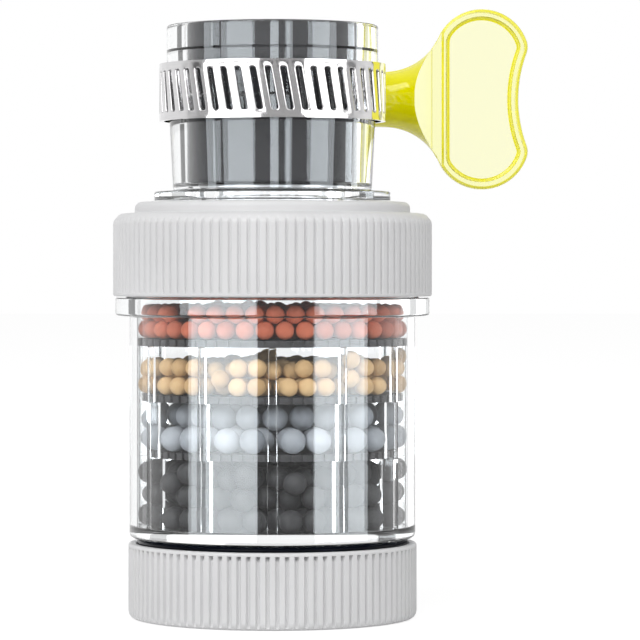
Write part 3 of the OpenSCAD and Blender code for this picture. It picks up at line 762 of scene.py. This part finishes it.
def ribbed_nut():
    """Ring nut: flat ribs that run out in its rounded shoulder, and a raised step round the collar."""
    z1, z2 = low("ring_nut").z, high("ring_nut").z
    rib_r = high("ring_nut").x
    shoulder_z = z2 - NUT_STEP_H
    rib_top_z = shoulder_z - NUT_SHOULDER_H
    step_r = rib_r - NUT_STEP_IN
    hole_r = high("neck_o_ring").x + TOUCH
    neck_r = high("housing_gasket").x + GASKET_INSET
    bore_r = neck_r + THREAD_CLEAR
    seal_z = high("housing_gasket").z + TOUCH
    recess_r, recess_z = neck_r - NUT_RECESS_IN, z2 - NUT_TOP_T
    wall = [(rib_r, z1 + up) for up in groove_rows(NUT_EDGE, NUT_GROOVE_W, RIM_ROUND)]
    shoulder = [(rib_r - inwards, rib_top_z + up) for inwards, up in NUT_SHOULDER]
    piece = turned("ribbed_nut", [
        (bore_r, z1, EDGE_ROUND), (rib_r, z1, RIM_ROUND), *wall, *shoulder,
        (step_r, shoulder_z, RIM_ROUND), (step_r, z2, LIP_ROUND), (hole_r, z2, FINE_ROUND),
        (hole_r, recess_z, SEAT_ROUND), (recess_r, recess_z), (recess_r, seal_z, EDGE_ROUND),
        (bore_r, seal_z)], NUT_RIBS * GROOVE_STEPS)
    grooved(piece, rib_r, rib_r - NUT_RIB_H, NUT_RIBS, NUT_GROOVE_W, z1 + NUT_EDGE, rib_top_z + NUT_RUN_OUT)
    stands_for(piece, "ring_nut")


# Clear cartridge

def thread_crests(radius, z1, z2):
    """Low rounded crests of a moulded thread on a neck, between two heights."""
    count = int((z2 - z1) / THREAD_PITCH) + 1
    shoulder = THREAD_H * CREST_SHARE
    crest = [(0, -CREST_HALF), (shoulder, -CREST_SHOULDER), (THREAD_H, 0), (shoulder, CREST_SHOULDER),
             (0, CREST_HALF)]
    return [(radius + out, z1 + k * THREAD_PITCH + up) for k in range(count) for out, up in crest]


def inner_ribs(bore_r, floor_z):
    """Ribs moulded inside the tube, each wider and deeper at every step down, where a strainer seats."""
    rib = None
    for step, (seat, width) in enumerate(RIB_SEATS):
        inner = bore_r - (len(RIB_SEATS) - step) * RIB_STEP
        size = Vector((bore_r + RIB_ROOT - inner, width, low(seat).z - floor_z + RIB_ROOT))
        centre = Vector((inner + size.x / 2, 0, low(seat).z - size.z / 2))
        bpy.ops.mesh.primitive_cube_add(size=1, location=centre * MM, scale=size * MM)
        bpy.ops.object.transform_apply(location=True, rotation=True, scale=True)
        block = softened(bpy.context.object, RIB_ROUND)
        rib = combined(rib, "UNION", block) if rib else block
    ribs = [rib]
    for k in range(1, RIBS):
        only(rib)
        bpy.ops.object.duplicate()
        ribs.append(bpy.context.object)
        ribs[-1].rotation_euler.z = 2 * math.pi * k / RIBS
        bpy.ops.object.transform_apply(location=True, rotation=True, scale=True)
    return joined(ribs)


def clear_tube():
    """Clear housing: tube, lip and threaded necks turned in one, with ribs moulded inside."""
    z1, z2 = low("housing").z, high("housing").z
    lip_r = high("housing").x
    lip_z = low("top_strainer").z
    bore_r = high("upper_strainer").y + DISC_CLEAR
    tube_r = bore_r + TUBE_WALL
    seat_r = high("top_strainer").y + DISC_CLEAR
    neck_r = high("housing_gasket").x + GASKET_INSET
    foot_r = high("outlet_pad").x + PAD_CLEAR - THREAD_CLEAR
    core_r, hollow_r = foot_r - THREAD_H, foot_r - FOOT_WALL
    tube_z = high("cap_o_ring").z + 2 * TOUCH
    floor_z = tube_z + TUBE_FLOOR_T
    piece = turned("clear_tube", [
        (0, tube_z), (hollow_r, tube_z, CORNER_ROUND), (hollow_r, z1, END_ROUND), (core_r, z1, END_ROUND),
        *thread_crests(core_r, z1 + THREAD_IN, tube_z - FOOT_THREAD_END), (core_r, tube_z, FINE_ROUND),
        (tube_r, tube_z, HEEL_ROUND), (tube_r, lip_z - LIP_H, EDGE_ROUND),
        (lip_r, lip_z - LIP_H, LIP_LOW_ROUND), (lip_r, lip_z, LIP_TOP_ROUND), (neck_r, lip_z, EDGE_ROUND),
        *thread_crests(neck_r, lip_z + NECK_THREAD_END, z2 - THREAD_IN), (neck_r, z2, END_ROUND),
        (seat_r, z2, EDGE_ROUND), (seat_r, lip_z), (bore_r, lip_z, SEAT_ROUND),
        (bore_r, floor_z, FINE_ROUND), (0, floor_z)])
    combined(piece, "UNION", inner_ribs(bore_r, floor_z))
    stands_for(piece, "housing")


# Inlet

def clear_cup():
    """Collar: a tapered clear cup with its flange, and the neck that turns in the nut."""
    z1, z2 = low("collar").z, high("collar").z
    flange_r = high("collar").x
    mouth_r = flange_r - FLANGE_OUT
    foot_r, bore_r = mouth_r - COLLAR_DRAFT, mouth_r - COLLAR_WALL
    lead_r, lead_z = bore_r + LEAD_IN, z2 - LEAD_IN_H
    floor_z = low("rubber_sleeve").z - TOUCH
    flange_z = floor_z - COLLAR_FLOOR_T
    cup_z = flange_z + FLANGE_T
    screen_r, screen_z = high("inlet_screen").x + TOUCH, low("inlet_screen").z
    neck_r = high("neck_o_ring").x - SEAL_PROUD
    seal_r, seal_z = neck_r - NECK_SEAL_DEPTH, middle("neck_o_ring").z
    seal_z1, seal_z2 = seal_z - NECK_SEAL_H / 2, seal_z + NECK_SEAL_H / 2
    ring_r = neck_r - RING_GROOVE_DEPTH
    ring_z1, ring_z2 = low("retaining_ring").z - TOUCH, high("retaining_ring").z + TOUCH
    mark_z = middle("clamp_band").z - MARK_DROP
    mark_r = foot_r + COLLAR_DRAFT * (mark_z - cup_z) / COLLAR_TAPER_H
    piece = turned("clear_cup", [
        (WAY_R, z1, END_ROUND), (neck_r, z1, CORNER_ROUND), (neck_r, ring_z1), (ring_r, ring_z1),
        (ring_r, ring_z2), (neck_r, ring_z2), (neck_r, seal_z1), (seal_r, seal_z1), (seal_r, seal_z2),
        (neck_r, seal_z2), (neck_r, flange_z), (flange_r, flange_z, FINE_ROUND),
        (flange_r, cup_z, RIM_ROUND), (foot_r, cup_z, END_ROUND), (mark_r, mark_z - MARK_HALF, MARK_ROUND),
        (mark_r - MARK_DEPTH, mark_z, MARK_ROUND), (mark_r, mark_z + MARK_HALF, MARK_ROUND),
        (mouth_r, cup_z + COLLAR_TAPER_H, HEEL_ROUND), (mouth_r, z2, END_ROUND), (lead_r, z2, RIM_ROUND),
        (lead_r, lead_z, CRISP_ROUND), (bore_r, lead_z - LEAD_IN_SLOPE, CRISP_ROUND),
        (bore_r, floor_z, CORNER_ROUND), (screen_r, floor_z, SEAT_ROUND), (screen_r, screen_z),
        (WAY_R, screen_z, EDGE_ROUND)])
    stands_for(piece, "collar")


def grip_sleeve():
    """Rubber sleeve with rounded lips."""
    z1, z2 = low("rubber_sleeve").z, high("rubber_sleeve").z
    outer = high("rubber_sleeve").x
    inner = outer - SLEEVE_WALL
    piece = turned("grip_sleeve", [
        (inner, z1, END_ROUND), (outer, z1, LIP_ROUND), (outer, z2, END_ROUND), (inner, z2, LIP_ROUND)])
    stands_for(piece, "rubber_sleeve")


def wire_net(turn, rim_r, middle_z, weave):
    """Wires side by side, along x for turn 0 and along y for turn 1, that dodge those of the other turn."""
    rows = int(2 * rim_r / WIRE_PITCH) + 1
    half = (rows - 1) / 2 * WIRE_PITCH

    def woven(x, y, z):
        x, y = x - half, y - half
        row = round((y + half) / WIRE_PITCH)
        z += middle_z + weave * math.cos(math.pi * (x / WIRE_PITCH + row + turn))
        return (y, x, z) if turn else (x, y, z)

    def outside(vertex):
        along, across = (vertex.co.yx if turn else vertex.co.xy) / MM
        wire = round((across + half) / WIRE_PITCH) * WIRE_PITCH - half
        return math.hypot(along, wire) > rim_r - WIRE_END

    bpy.ops.mesh.primitive_cylinder_add(
        vertices=WIRE_SIDES, radius=WIRE_R * MM, depth=WIRE_PITCH / WIRE_PARTS * MM,
        end_fill_type="NOTHING", rotation=(0, math.pi / 2, 0))
    bpy.ops.object.transform_apply(location=True, rotation=True, scale=True)
    net = bpy.context.object
    repeated(net, WIRE_PARTS * rows, (WIRE_PITCH / WIRE_PARTS, 0, 0), SAME)
    repeated(net, rows, (0, WIRE_PITCH, 0), SAME)
    edit(net)
    place_picked(net, woven)
    pick(net, "verts", outside)
    bpy.ops.mesh.delete(type="VERT")
    bpy.ops.mesh.select_all(action="SELECT")
    bpy.ops.mesh.fill_holes(sides=WIRE_SIDES)
    bpy.ops.object.mode_set(mode="OBJECT")
    return smoothed(net, WIRE_SMOOTH_ANGLE)


def woven_screen():
    """Plain-woven wire disc in a pressed rim."""
    z1, z2 = low("inlet_screen").z, high("inlet_screen").z
    rim_r = high("inlet_screen").x
    inner = rim_r - SCREEN_RIM_W
    nets = [wire_net(turn, rim_r, (z1 + z2) / 2, (z2 - z1) / 2 - WIRE_R) for turn in (0, 1)]
    rim = turned("woven_screen", [
        (inner, z1, SEAT_ROUND), (rim_r, z1, SEAT_ROUND), (rim_r, z2, SEAT_ROUND), (inner, z2, SEAT_ROUND)],
        SCREEN_STEPS)
    stands_for(joined([rim, *nets]), "inlet_screen")


# Clamp

def slot_cell(pitch, half_w):
    """One pitch of the flat strip with its slot: x along the strip, y into it and z up."""
    core_x, core_z = SLOT_W / 2 - SLOT_ROUND, SLOT_LEN / 2 - SLOT_ROUND

    def around(quarter, depth):
        """A ring of points that lean as the slot does, from the quarter at its right top."""
        right_top, left_top = quarter, [(-x, z) for x, z in reversed(quarter)]
        left_low, right_low = [(-x, -z) for x, z in quarter], [(x, -z) for x, z in reversed(quarter)]
        whole = right_top + left_top + left_low + right_low
        return [(x - SLOT_LEAN * z / SLOT_LEN, depth, z) for x, z in whole]

    def slot_edge(grow, depth):
        corner = [turned_to(angle, SLOT_ROUND + grow) for angle in SLOT_CORNER]
        return around([(core_x + x, core_z + z) for x, z in corner], depth)

    border = [(pitch / 2, core_z), (pitch / 2, half_w), (pitch / 4, half_w), (core_x, half_w)]
    rings = [around(border, 0), *(slot_edge(grow, depth) for grow, depth in COINED),
             slot_edge(0, BAND_T - PUNCHED), slot_edge(PUNCHED, BAND_T), around(border, BAND_T)]
    piece = drawn("slotted_band", rings[0])
    for before, after in zip(rings, rings[1:]):
        moves = {tuple(round(c, 4) for c in start): end for start, end in zip(before, after)}
        bpy.ops.mesh.extrude_edges_move(TRANSFORM_OT_translate={"value": (0, 0, 0)})
        place_picked(piece, lambda x, y, z: moves[(round(x, 4), round(y, 4), round(z, 4))])
    bpy.ops.object.mode_set(mode="OBJECT")
    return piece


def run_out(piece, start_x, end_x):
    """Carries an end of the strip on to where it stops, in steps that bring its leaning edge upright."""
    steps = max(2, round(abs(end_x - start_x)))
    stride = (end_x - start_x) / steps
    for k in range(steps):
        at = start_x + stride * k
        lean, next_lean = (SLOT_LEAN / SLOT_LEN * (1 - n / steps) for n in (k, k + 1))
        pick(piece, "edges", lambda e: all(
            abs(v.co.x / MM + lean * v.co.z / MM - at) < ON_LINE for v in e.verts))
        bpy.ops.mesh.extrude_edges_move(TRANSFORM_OT_translate={"value": (0, 0, 0)})
        place_picked(piece, lambda x, y, z: (x + stride + (lean - next_lean) * z, y, z))


def on_band(x, depth, z):
    """Where a point of the flat strip comes to lie: round the collar, then out over the fixed end."""
    turn = FRONT_TURN + math.degrees(x / BAND_OUT_R)
    lift = (BAND_T + LAYER_GAP) * eased((turn - BAND_LEAVE) / (LAP_END - BAND_LEAVE))
    return *turned_to(turn, BAND_OUT_R + lift - depth), z


def slotted_band():
    """Clamp band: one slotted strip with coined slot edges, bent round the collar and over its own end."""
    pitch = 2 * math.pi * BAND_OUT_R / SLOTS
    half_w = (high("clamp_band").z - low("clamp_band").z) / 2
    middle_z = middle("clamp_band").z
    count = LAST_SLOT - FIRST_SLOT + 1
    first_x = pitch * FIRST_SLOT + math.radians(SLOT_PHASE) * BAND_OUT_R
    piece = slot_cell(pitch, half_w)
    repeated(piece, count, (pitch, 0, 0), 2 * SAME)
    moved(piece, (first_x, 0, 0))
    edit(piece)
    run_out(piece, first_x - pitch / 2, math.radians(BAND_START - FRONT_TURN) * BAND_OUT_R)
    run_out(piece, first_x + (count - 0.5) * pitch, math.radians(TAIL_END - FRONT_TURN) * BAND_OUT_R)
    pick(piece, "edges", lambda e: e.is_boundary)
    bpy.ops.mesh.bridge_edge_loops()
    pick(piece, "edges", lambda e: all(abs(abs(v.co.z) / MM - half_w) < SAME for v in e.verts)
         and abs(e.verts[0].co.y - e.verts[1].co.y) < SAME * MM)
    bpy.ops.mesh.bevel(offset=BAND_EDGE_ROUND * MM, segments=2, affect="EDGES")
    bpy.ops.mesh.select_all(action="SELECT")
    place_picked(piece, lambda x, y, z: on_band(x, y, z + middle_z))
    bpy.ops.object.mode_set(mode="OBJECT")
    closed_up(piece)
    stands_for(piece, "clamp_band")


def pressed_saddle():
    """Worm housing: the stamped saddle with its edges rounded."""
    only(nodes["worm_housing"])
    bpy.ops.object.duplicate()
    piece = named("pressed_saddle")
    edit(piece)
    bpy.ops.mesh.remove_doubles(threshold=SAME * MM)
    bpy.ops.mesh.dissolve_limited(angle_limit=math.radians(FLAT_ANGLE))
    bpy.ops.object.mode_set(mode="OBJECT")
    softened(piece, SADDLE_ROUND, steps=3)
    stands_for(piece, "worm_housing")


# Thumb key: outlines in x and z, as circles that touch each other

def touching_r(behind, across, radius):
    """Radius of an arc whose start lies this far behind and across from the circle that it runs into."""
    return (behind ** 2 + across ** 2 - radius ** 2) / (2 * (radius - behind))


LOBE_TO_CORNER = Vector(turned_to(CORNER_ANGLE, LOBE_R - CORNER_R))
CORNER = Vector((WING_REACH - CORNER_R, LOBE_Z + LOBE_TO_CORNER.y))
LOBE = Vector((CORNER.x - LOBE_TO_CORNER.x, LOBE_Z))
WAIST_X = WING_REACH - WAIST_DIP
WAIST_R = touching_r(WAIST_X - CORNER.x, CORNER.y, CORNER_R)
WAIST = Vector((WAIST_X + WAIST_R, 0))
FLARE_R = touching_r(HUB_R - LOBE.y, LOBE.x - FLARE_X, LOBE_R)
FLARE = Vector((FLARE_X, HUB_R + FLARE_R))


def direction(start, end):
    return math.degrees(math.atan2(end.y - start.y, end.x - start.x))


TO_LOBE = direction(FLARE, LOBE)
TO_WAIST = direction(CORNER, WAIST)


def bow(centre, radius, start, end, steps):
    """Points of an arc from one direction to another, without its first point."""
    turns = [start + (end - start) * k / steps for k in range(1, steps + 1)]
    return [centre + Vector(turned_to(turn, radius)) for turn in turns]


def mirrored(upper, y):
    """A closed outline at one depth, from its upper half that ends at the waist."""
    lower = [Vector((p.x, -p.y)) for p in reversed(upper[:-1])]
    return [(p.x, y, p.y) for p in upper + lower]


def half_wing():
    """Upper half of the wing's outline, from the stem to the waist, in tangent arcs."""
    return [Vector((FLARE_X, HUB_R - FLARE_SINK))] + (
        bow(FLARE, FLARE_R + FLARE_SINK, -90, TO_LOBE, steps=14)
        + bow(LOBE, LOBE_R, TO_LOBE + 180, CORNER_ANGLE, steps=24)
        + bow(CORNER, CORNER_R, CORNER_ANGLE, TO_WAIST, steps=8)
        + bow(WAIST, WAIST_R, TO_WAIST + 180, 180, steps=12))


def half_panel():
    """Upper half of the sunk panel's outline, from its straight side to the waist."""
    centre = Vector((PANEL_X + PANEL_CORNER, 0))
    centre.y = LOBE.y + math.sqrt((LOBE_R - WING_RIM - PANEL_CORNER) ** 2 - (centre.x - LOBE.x) ** 2)
    to_corner = direction(LOBE, centre)
    return [Vector((PANEL_X, centre.y))] + (
        bow(centre, PANEL_CORNER, 180, to_corner, steps=4)
        + bow(LOBE, LOBE_R - WING_RIM, to_corner, CORNER_ANGLE, steps=16)
        + bow(CORNER, CORNER_R - WING_RIM, CORNER_ANGLE, TO_WAIST, steps=6)
        + bow(WAIST, WAIST_R + WING_RIM, TO_WAIST + 180, 180, steps=12))


def seen_from_above(name, outline):
    """A cutting body with an outline in x and y that reaches past the key above and below."""
    return extruded(name, [(x, y, -WING_REACH) for x, y in outline], (0, 0, 2 * WING_REACH))


def flared_stem(slope):
    """The turned stem that flares out into the wing, cut to its sloped cheeks."""
    hub_x = low("thumb_key").x
    flare = bow(FLARE, FLARE_R, -90, TO_LOBE, steps=14)
    stem = drawn("stem", [
        (hub_x, 0, 0), (hub_x, 0, HUB_R - HUB_TAPER, FLOOR_ROUND), (FLARE_X, 0, HUB_R),
        *((p.x, 0, p.y) for p in flare), (flare[-1].x, 0, 0)])
    bpy.ops.mesh.spin(steps=STEM_STEPS, angle=2 * math.pi, center=(0, 0, 0), axis=(1, 0, 0))
    bpy.ops.object.mode_set(mode="OBJECT")
    closed_up(stem)
    root_x = FOLD_X + slope * (WING_T / 2 - CHEEK_ROOT)
    cheek = [(0, CHEEK_HALF + CUT_PAST), (APEX_X - APEX_EDGE, CHEEK_HALF + CUT_PAST),
             (APEX_X, CHEEK_HALF), (root_x, CHEEK_ROOT)]
    cheeks = seen_from_above("cheeks", [(x, -y) for x, y in cheek] + cheek[::-1])
    return combined(stem, "INTERSECT", cheeks)


def cut_side(wing, side, slope):
    """Sinks one side's panel and lowers the flat beside the fold, with side -1 in front and 1 behind."""
    half = WING_T / 2
    panel = extruded("panel", mirrored(half_panel(), side * (half + CUT_PAST - PANEL_DEPTH)),
                     (0, -side * CUT_PAST, 0))
    softened(panel, PANEL_ROUND, steps=6, angle=60, clamped=False)
    combined(wing, "DIFFERENCE", panel)
    sunk, clear = half - RIDGE_H, half + RIDGE_H
    fold_x = FOLD_X - FLARE_SINK
    beside = seen_from_above("beside_fold", [
        (fold_x + slope * RIDGE_H, side * sunk), (RIDGE_X - RIDGE_SLOPE, side * sunk),
        (RIDGE_X + RIDGE_SLOPE, side * clear), (fold_x - slope * RIDGE_H, side * clear)])
    combined(wing, "DIFFERENCE", beside)


def wing_key():
    """Thumb key: a turned stem that flares out, sloped cheeks and a winged grip with sunk panels."""
    slope = (FOLD_X - APEX_X) / (CHEEK_HALF - WING_T / 2)
    wing = extruded("wing_key", mirrored(half_wing(), -WING_T / 2), (0, WING_T, 0))
    softened(wing, WING_ROUND, steps=6, angle=60, clamped=False)
    combined(wing, "UNION", flared_stem(slope))
    for side in (-1, 1):
        cut_side(wing, side, slope)
    bpy.ops.mesh.primitive_cylinder_add(
        vertices=SHANK_SIDES, radius=SHANK_R * MM, depth=2 * SHANK_END * MM, rotation=(0, math.pi / 2, 0))
    combined(wing, "DIFFERENCE", softened(bpy.context.object, FLOOR_ROUND, steps=4, angle=60))
    moved(wing, (0, middle("worm_screw").y, middle("worm_screw").z))
    smoothed(wing, KEY_SMOOTH_ANGLE)
    stands_for(wing, "thumb_key")


for make in (ribbed_cap, ribbed_nut, clear_tube, clear_cup, grip_sleeve, woven_screen,
             slotted_band, pressed_saddle, wing_key):
    make()


# Studio: the photograph in its pixels, and what stands round the filter in millimetres

PHOTO_PX = 640.0       # side of the square photograph
HORIZON_PX = 265.0     # height of the camera, down from the top
BASE_PX = 617.0        # where the filter stands
AXIS_PX = 272.5        # the filter's axis, in from the left
PX_PER_MM = 7.5        # at that axis
CAMERA_AWAY = 480.0
CAMERA_H = (BASE_PX - HORIZON_PX) / PX_PER_MM
SENSOR_W = 36.0
NEAREST = 10.0         # nothing closer to the camera than this is drawn
SOFTBOX_AWAY = 800.0
SKYLIGHT_AWAY = 1300.0
SKYLIGHT_W = 900.0
SKYLIGHT_AIM = 45.0    # height that the high lamps point at
FLOOR_W = 6000.0
FLOOR_DROP = 0.02
FLOOR_GLOW = 1.2       # strength of the floor's own light
FLOOR_SEEN = 0.72      # share of it that the camera sees instead of the paint

# Where the tall lamps stand, in degrees round the filter: 0 faces the camera and the left is negative

LEFT = (-70, -12)
CENTRE = (-12, 33.5)
RIGHT = (33.5, 81)
COLLAR_STRIPS = ((-79, -67.5), (-57, -21.5), (-2.6, 6.8), (15, 21.6), (43.5, 73), (102, 114))
BEHIND_KEY = (119, 168)
BEHIND_KEY_YELLOW = (122, 166)
TUBE_CARD_TOP = 59     # the tube's lamps end here
BAND_CARD_FOOT = 61    # and the band's begin

# Colours of the lamps

PLAIN = (1.0, 1.0, 1.0)
COOL = (0.9, 0.96, 1.0)
COOLER = (0.88, 0.95, 1.0)
LEMON = (1.0, 0.93, 0.06)

# Strengths of the world: what reflects sees a dark low front and a white back

WORLD_FILL = 0.46
FRONT_LOW = 0.06
FRONT_RISE = 0.44
KEY_SIDE_SHADE = 0.94
FLAG_SHADE = 0.85

# Where its zones change, as the sides of a direction of length 1: right, back and up

HORIZON_RISE = (0.0, 0.03)
BACK_RISE = (-0.25, 0.35)
KEY_SIDE_RIGHT = (0.2, 0.26)
KEY_SIDE_BACK = (0.48, 0.54)
FLAG_START = (0.55, 0.57)
FLAG_END = (0.71, 0.73)
FLAG_BACK = (0.0, 0.2)


def add_camera():
    """A level camera with its lens shifted, so that upright lines stay upright as in the photograph."""
    bpy.ops.object.camera_add(location=(0, -CAMERA_AWAY * MM, CAMERA_H * MM), rotation=(math.pi / 2, 0, 0))
    camera = bpy.context.object
    camera.name = "camera"
    camera.data.sensor_width = SENSOR_W
    camera.data.lens = SENSOR_W * PX_PER_MM * CAMERA_AWAY / PHOTO_PX
    camera.data.shift_x = (PHOTO_PX / 2 - AXIS_PX) / PHOTO_PX
    camera.data.shift_y = (HORIZON_PX - PHOTO_PX / 2) / PHOTO_PX
    camera.data.clip_start = NEAREST * MM
    bpy.context.scene.camera = camera


def add_softbox(name, span, pieces, radiance, bottom, top, tint=PLAIN):
    """A tall lamp that fills a span of directions between two heights, for what a few pieces reflect."""
    away = SOFTBOX_AWAY * MM
    width = 2 * away * math.tan(math.radians(span[1] - span[0]) / 2)
    height = (top - bottom) * MM
    turn = math.radians(span[0] + span[1]) / 2
    bpy.ops.object.light_add(
        type="AREA", location=(away * math.sin(turn), -away * math.cos(turn), (top + bottom) / 2 * MM),
        rotation=(math.pi / 2, 0, turn))
    lamp = bpy.context.object
    lamp.name = name
    lamp.data.shape = "RECTANGLE"
    lamp.data.size = width
    lamp.data.size_y = height
    lamp.data.color = tint
    lamp.data.energy = radiance * math.pi * width * height
    lamp.visible_diffuse = False
    lamp.visible_camera = False
    lit = bpy.data.collections.new(name)
    for piece in pieces:
        lit.objects.link(bpy.data.objects[piece])
    lamp.light_linking.receiver_collection = lit


def add_skylight(name, azimuth, elevation, share):
    """A large soft lamp high up, which gives a share of the light on a surface that faces it."""
    away = SKYLIGHT_AWAY * MM
    turn, rise = math.radians(azimuth), math.radians(elevation)
    bpy.ops.object.light_add(
        type="AREA", rotation=(math.pi / 2 - rise, 0, turn),
        location=(away * math.sin(turn) * math.cos(rise), -away * math.cos(turn) * math.cos(rise),
                  SKYLIGHT_AIM * MM + away * math.sin(rise)))
    lamp = bpy.context.object
    lamp.name = name
    lamp.data.shape = "SQUARE"
    lamp.data.size = SKYLIGHT_W * MM
    lamp.data.energy = share * math.pi * math.pi * away * away
    lamp.visible_camera = False


def add_world():
    """White all round as the camera and clear plastic see it, with two dark flags beside the filter.

    What reflects sees a darker low front, and hardly anything behind the key.
    """
    world = bpy.data.worlds.new("studio")
    bpy.context.scene.world = world
    f = Finish("studio", world)
    seen = (f.ray("Camera") + f.ray("Transmission")).clamped()
    glossy = f.ray("Glossy")
    towards = f.node("ShaderNodeTexCoord", output="Generated")
    right, back, up = (f.part(towards, axis) for axis in range(3))
    behind = back.step(*BACK_RISE)
    front = FRONT_LOW + FRONT_RISE * up.step(*HORIZON_RISE)
    key_side = right.step(*KEY_SIDE_RIGHT) * back.step(*KEY_SIDE_BACK)
    around = (front * (1 - behind) + behind) * (1 - KEY_SIDE_SHADE * key_side)
    light = (1 - glossy) * WORLD_FILL + glossy * around
    aside = right.size()
    flags = (aside.step(*FLAG_START) - aside.step(*FLAG_END)) * back.step(*FLAG_BACK)
    strength = light * (1 - seen) + seen * (1 - FLAG_SHADE * flags)
    f.done(f.node("ShaderNodeBackground", {}, {"Color": WHITE, "Strength": strength}))


def add_floor():
    """Pale floor that the camera sees as white and that keeps the filter's shadow."""
    bpy.ops.mesh.primitive_plane_add(size=FLOOR_W * MM, location=(0, 0, -FLOOR_DROP * MM))
    floor = bpy.context.object
    floor.name = "floor"
    f = Finish("floor")
    paint = f.node("ShaderNodeBsdfDiffuse", {}, {"Color": (0.9, 0.9, 0.9, 1.0)})
    glow = f.node("ShaderNodeEmission", {}, {"Color": WHITE, "Strength": FLOOR_GLOW})
    share = FLOOR_SEEN * (f.ray("Camera") + f.ray("Glossy") + f.ray("Transmission")).clamped()
    floor.data.materials.append(f.done(f.mixed(share, paint, glow)))
    floor.visible_glossy = False
    floor.visible_transmission = False


def add_lamps():
    """Two soft lamps for all, and tall ones that clear plastic and steel reflect, each for its own pieces."""
    add_skylight("key_light", azimuth=-30, elevation=40, share=0.58)
    add_skylight("fill_light", azimuth=48, elevation=32, share=0.17)
    tube, cup, band = ["clear_tube"], ["clear_cup"], ["slotted_band", "pressed_saddle"]
    pale = ["clear_tube", "clear_cup", "ribbed_cap", "ribbed_nut", "wing_key"]
    add_softbox("left_softbox", LEFT, tube, radiance=6.2, bottom=-120, top=TUBE_CARD_TOP, tint=COOL)
    add_softbox("right_softbox", RIGHT, tube, radiance=6.2, bottom=-120, top=TUBE_CARD_TOP, tint=COOL)
    add_softbox("left_band_card", LEFT, band, radiance=3.0, bottom=BAND_CARD_FOOT, top=240)
    add_softbox("right_band_card", RIGHT, band, radiance=3.0, bottom=BAND_CARD_FOOT, top=240)
    for k, span in enumerate(COLLAR_STRIPS):
        add_softbox(f"collar_strip_{k}", span, cup, radiance=5.2, bottom=-60, top=190, tint=COOLER)
    add_softbox("white_card", BEHIND_KEY, pale, radiance=0.55, bottom=-300, top=400)
    add_softbox("yellow_card", BEHIND_KEY_YELLOW, ["slotted_band"], radiance=1.15, bottom=-200, top=260,
                tint=LEMON)
    for k, span in enumerate((LEFT, CENTRE, RIGHT)):
        add_softbox(f"band_low_card_{k}", span, band, radiance=2.4, bottom=-240, top=40)


bpy.ops.object.select_all(action="DESELECT")
add_camera()
add_world()
add_floor()
add_lamps()

bpy.context.scene.view_settings.view_transform = "Standard"
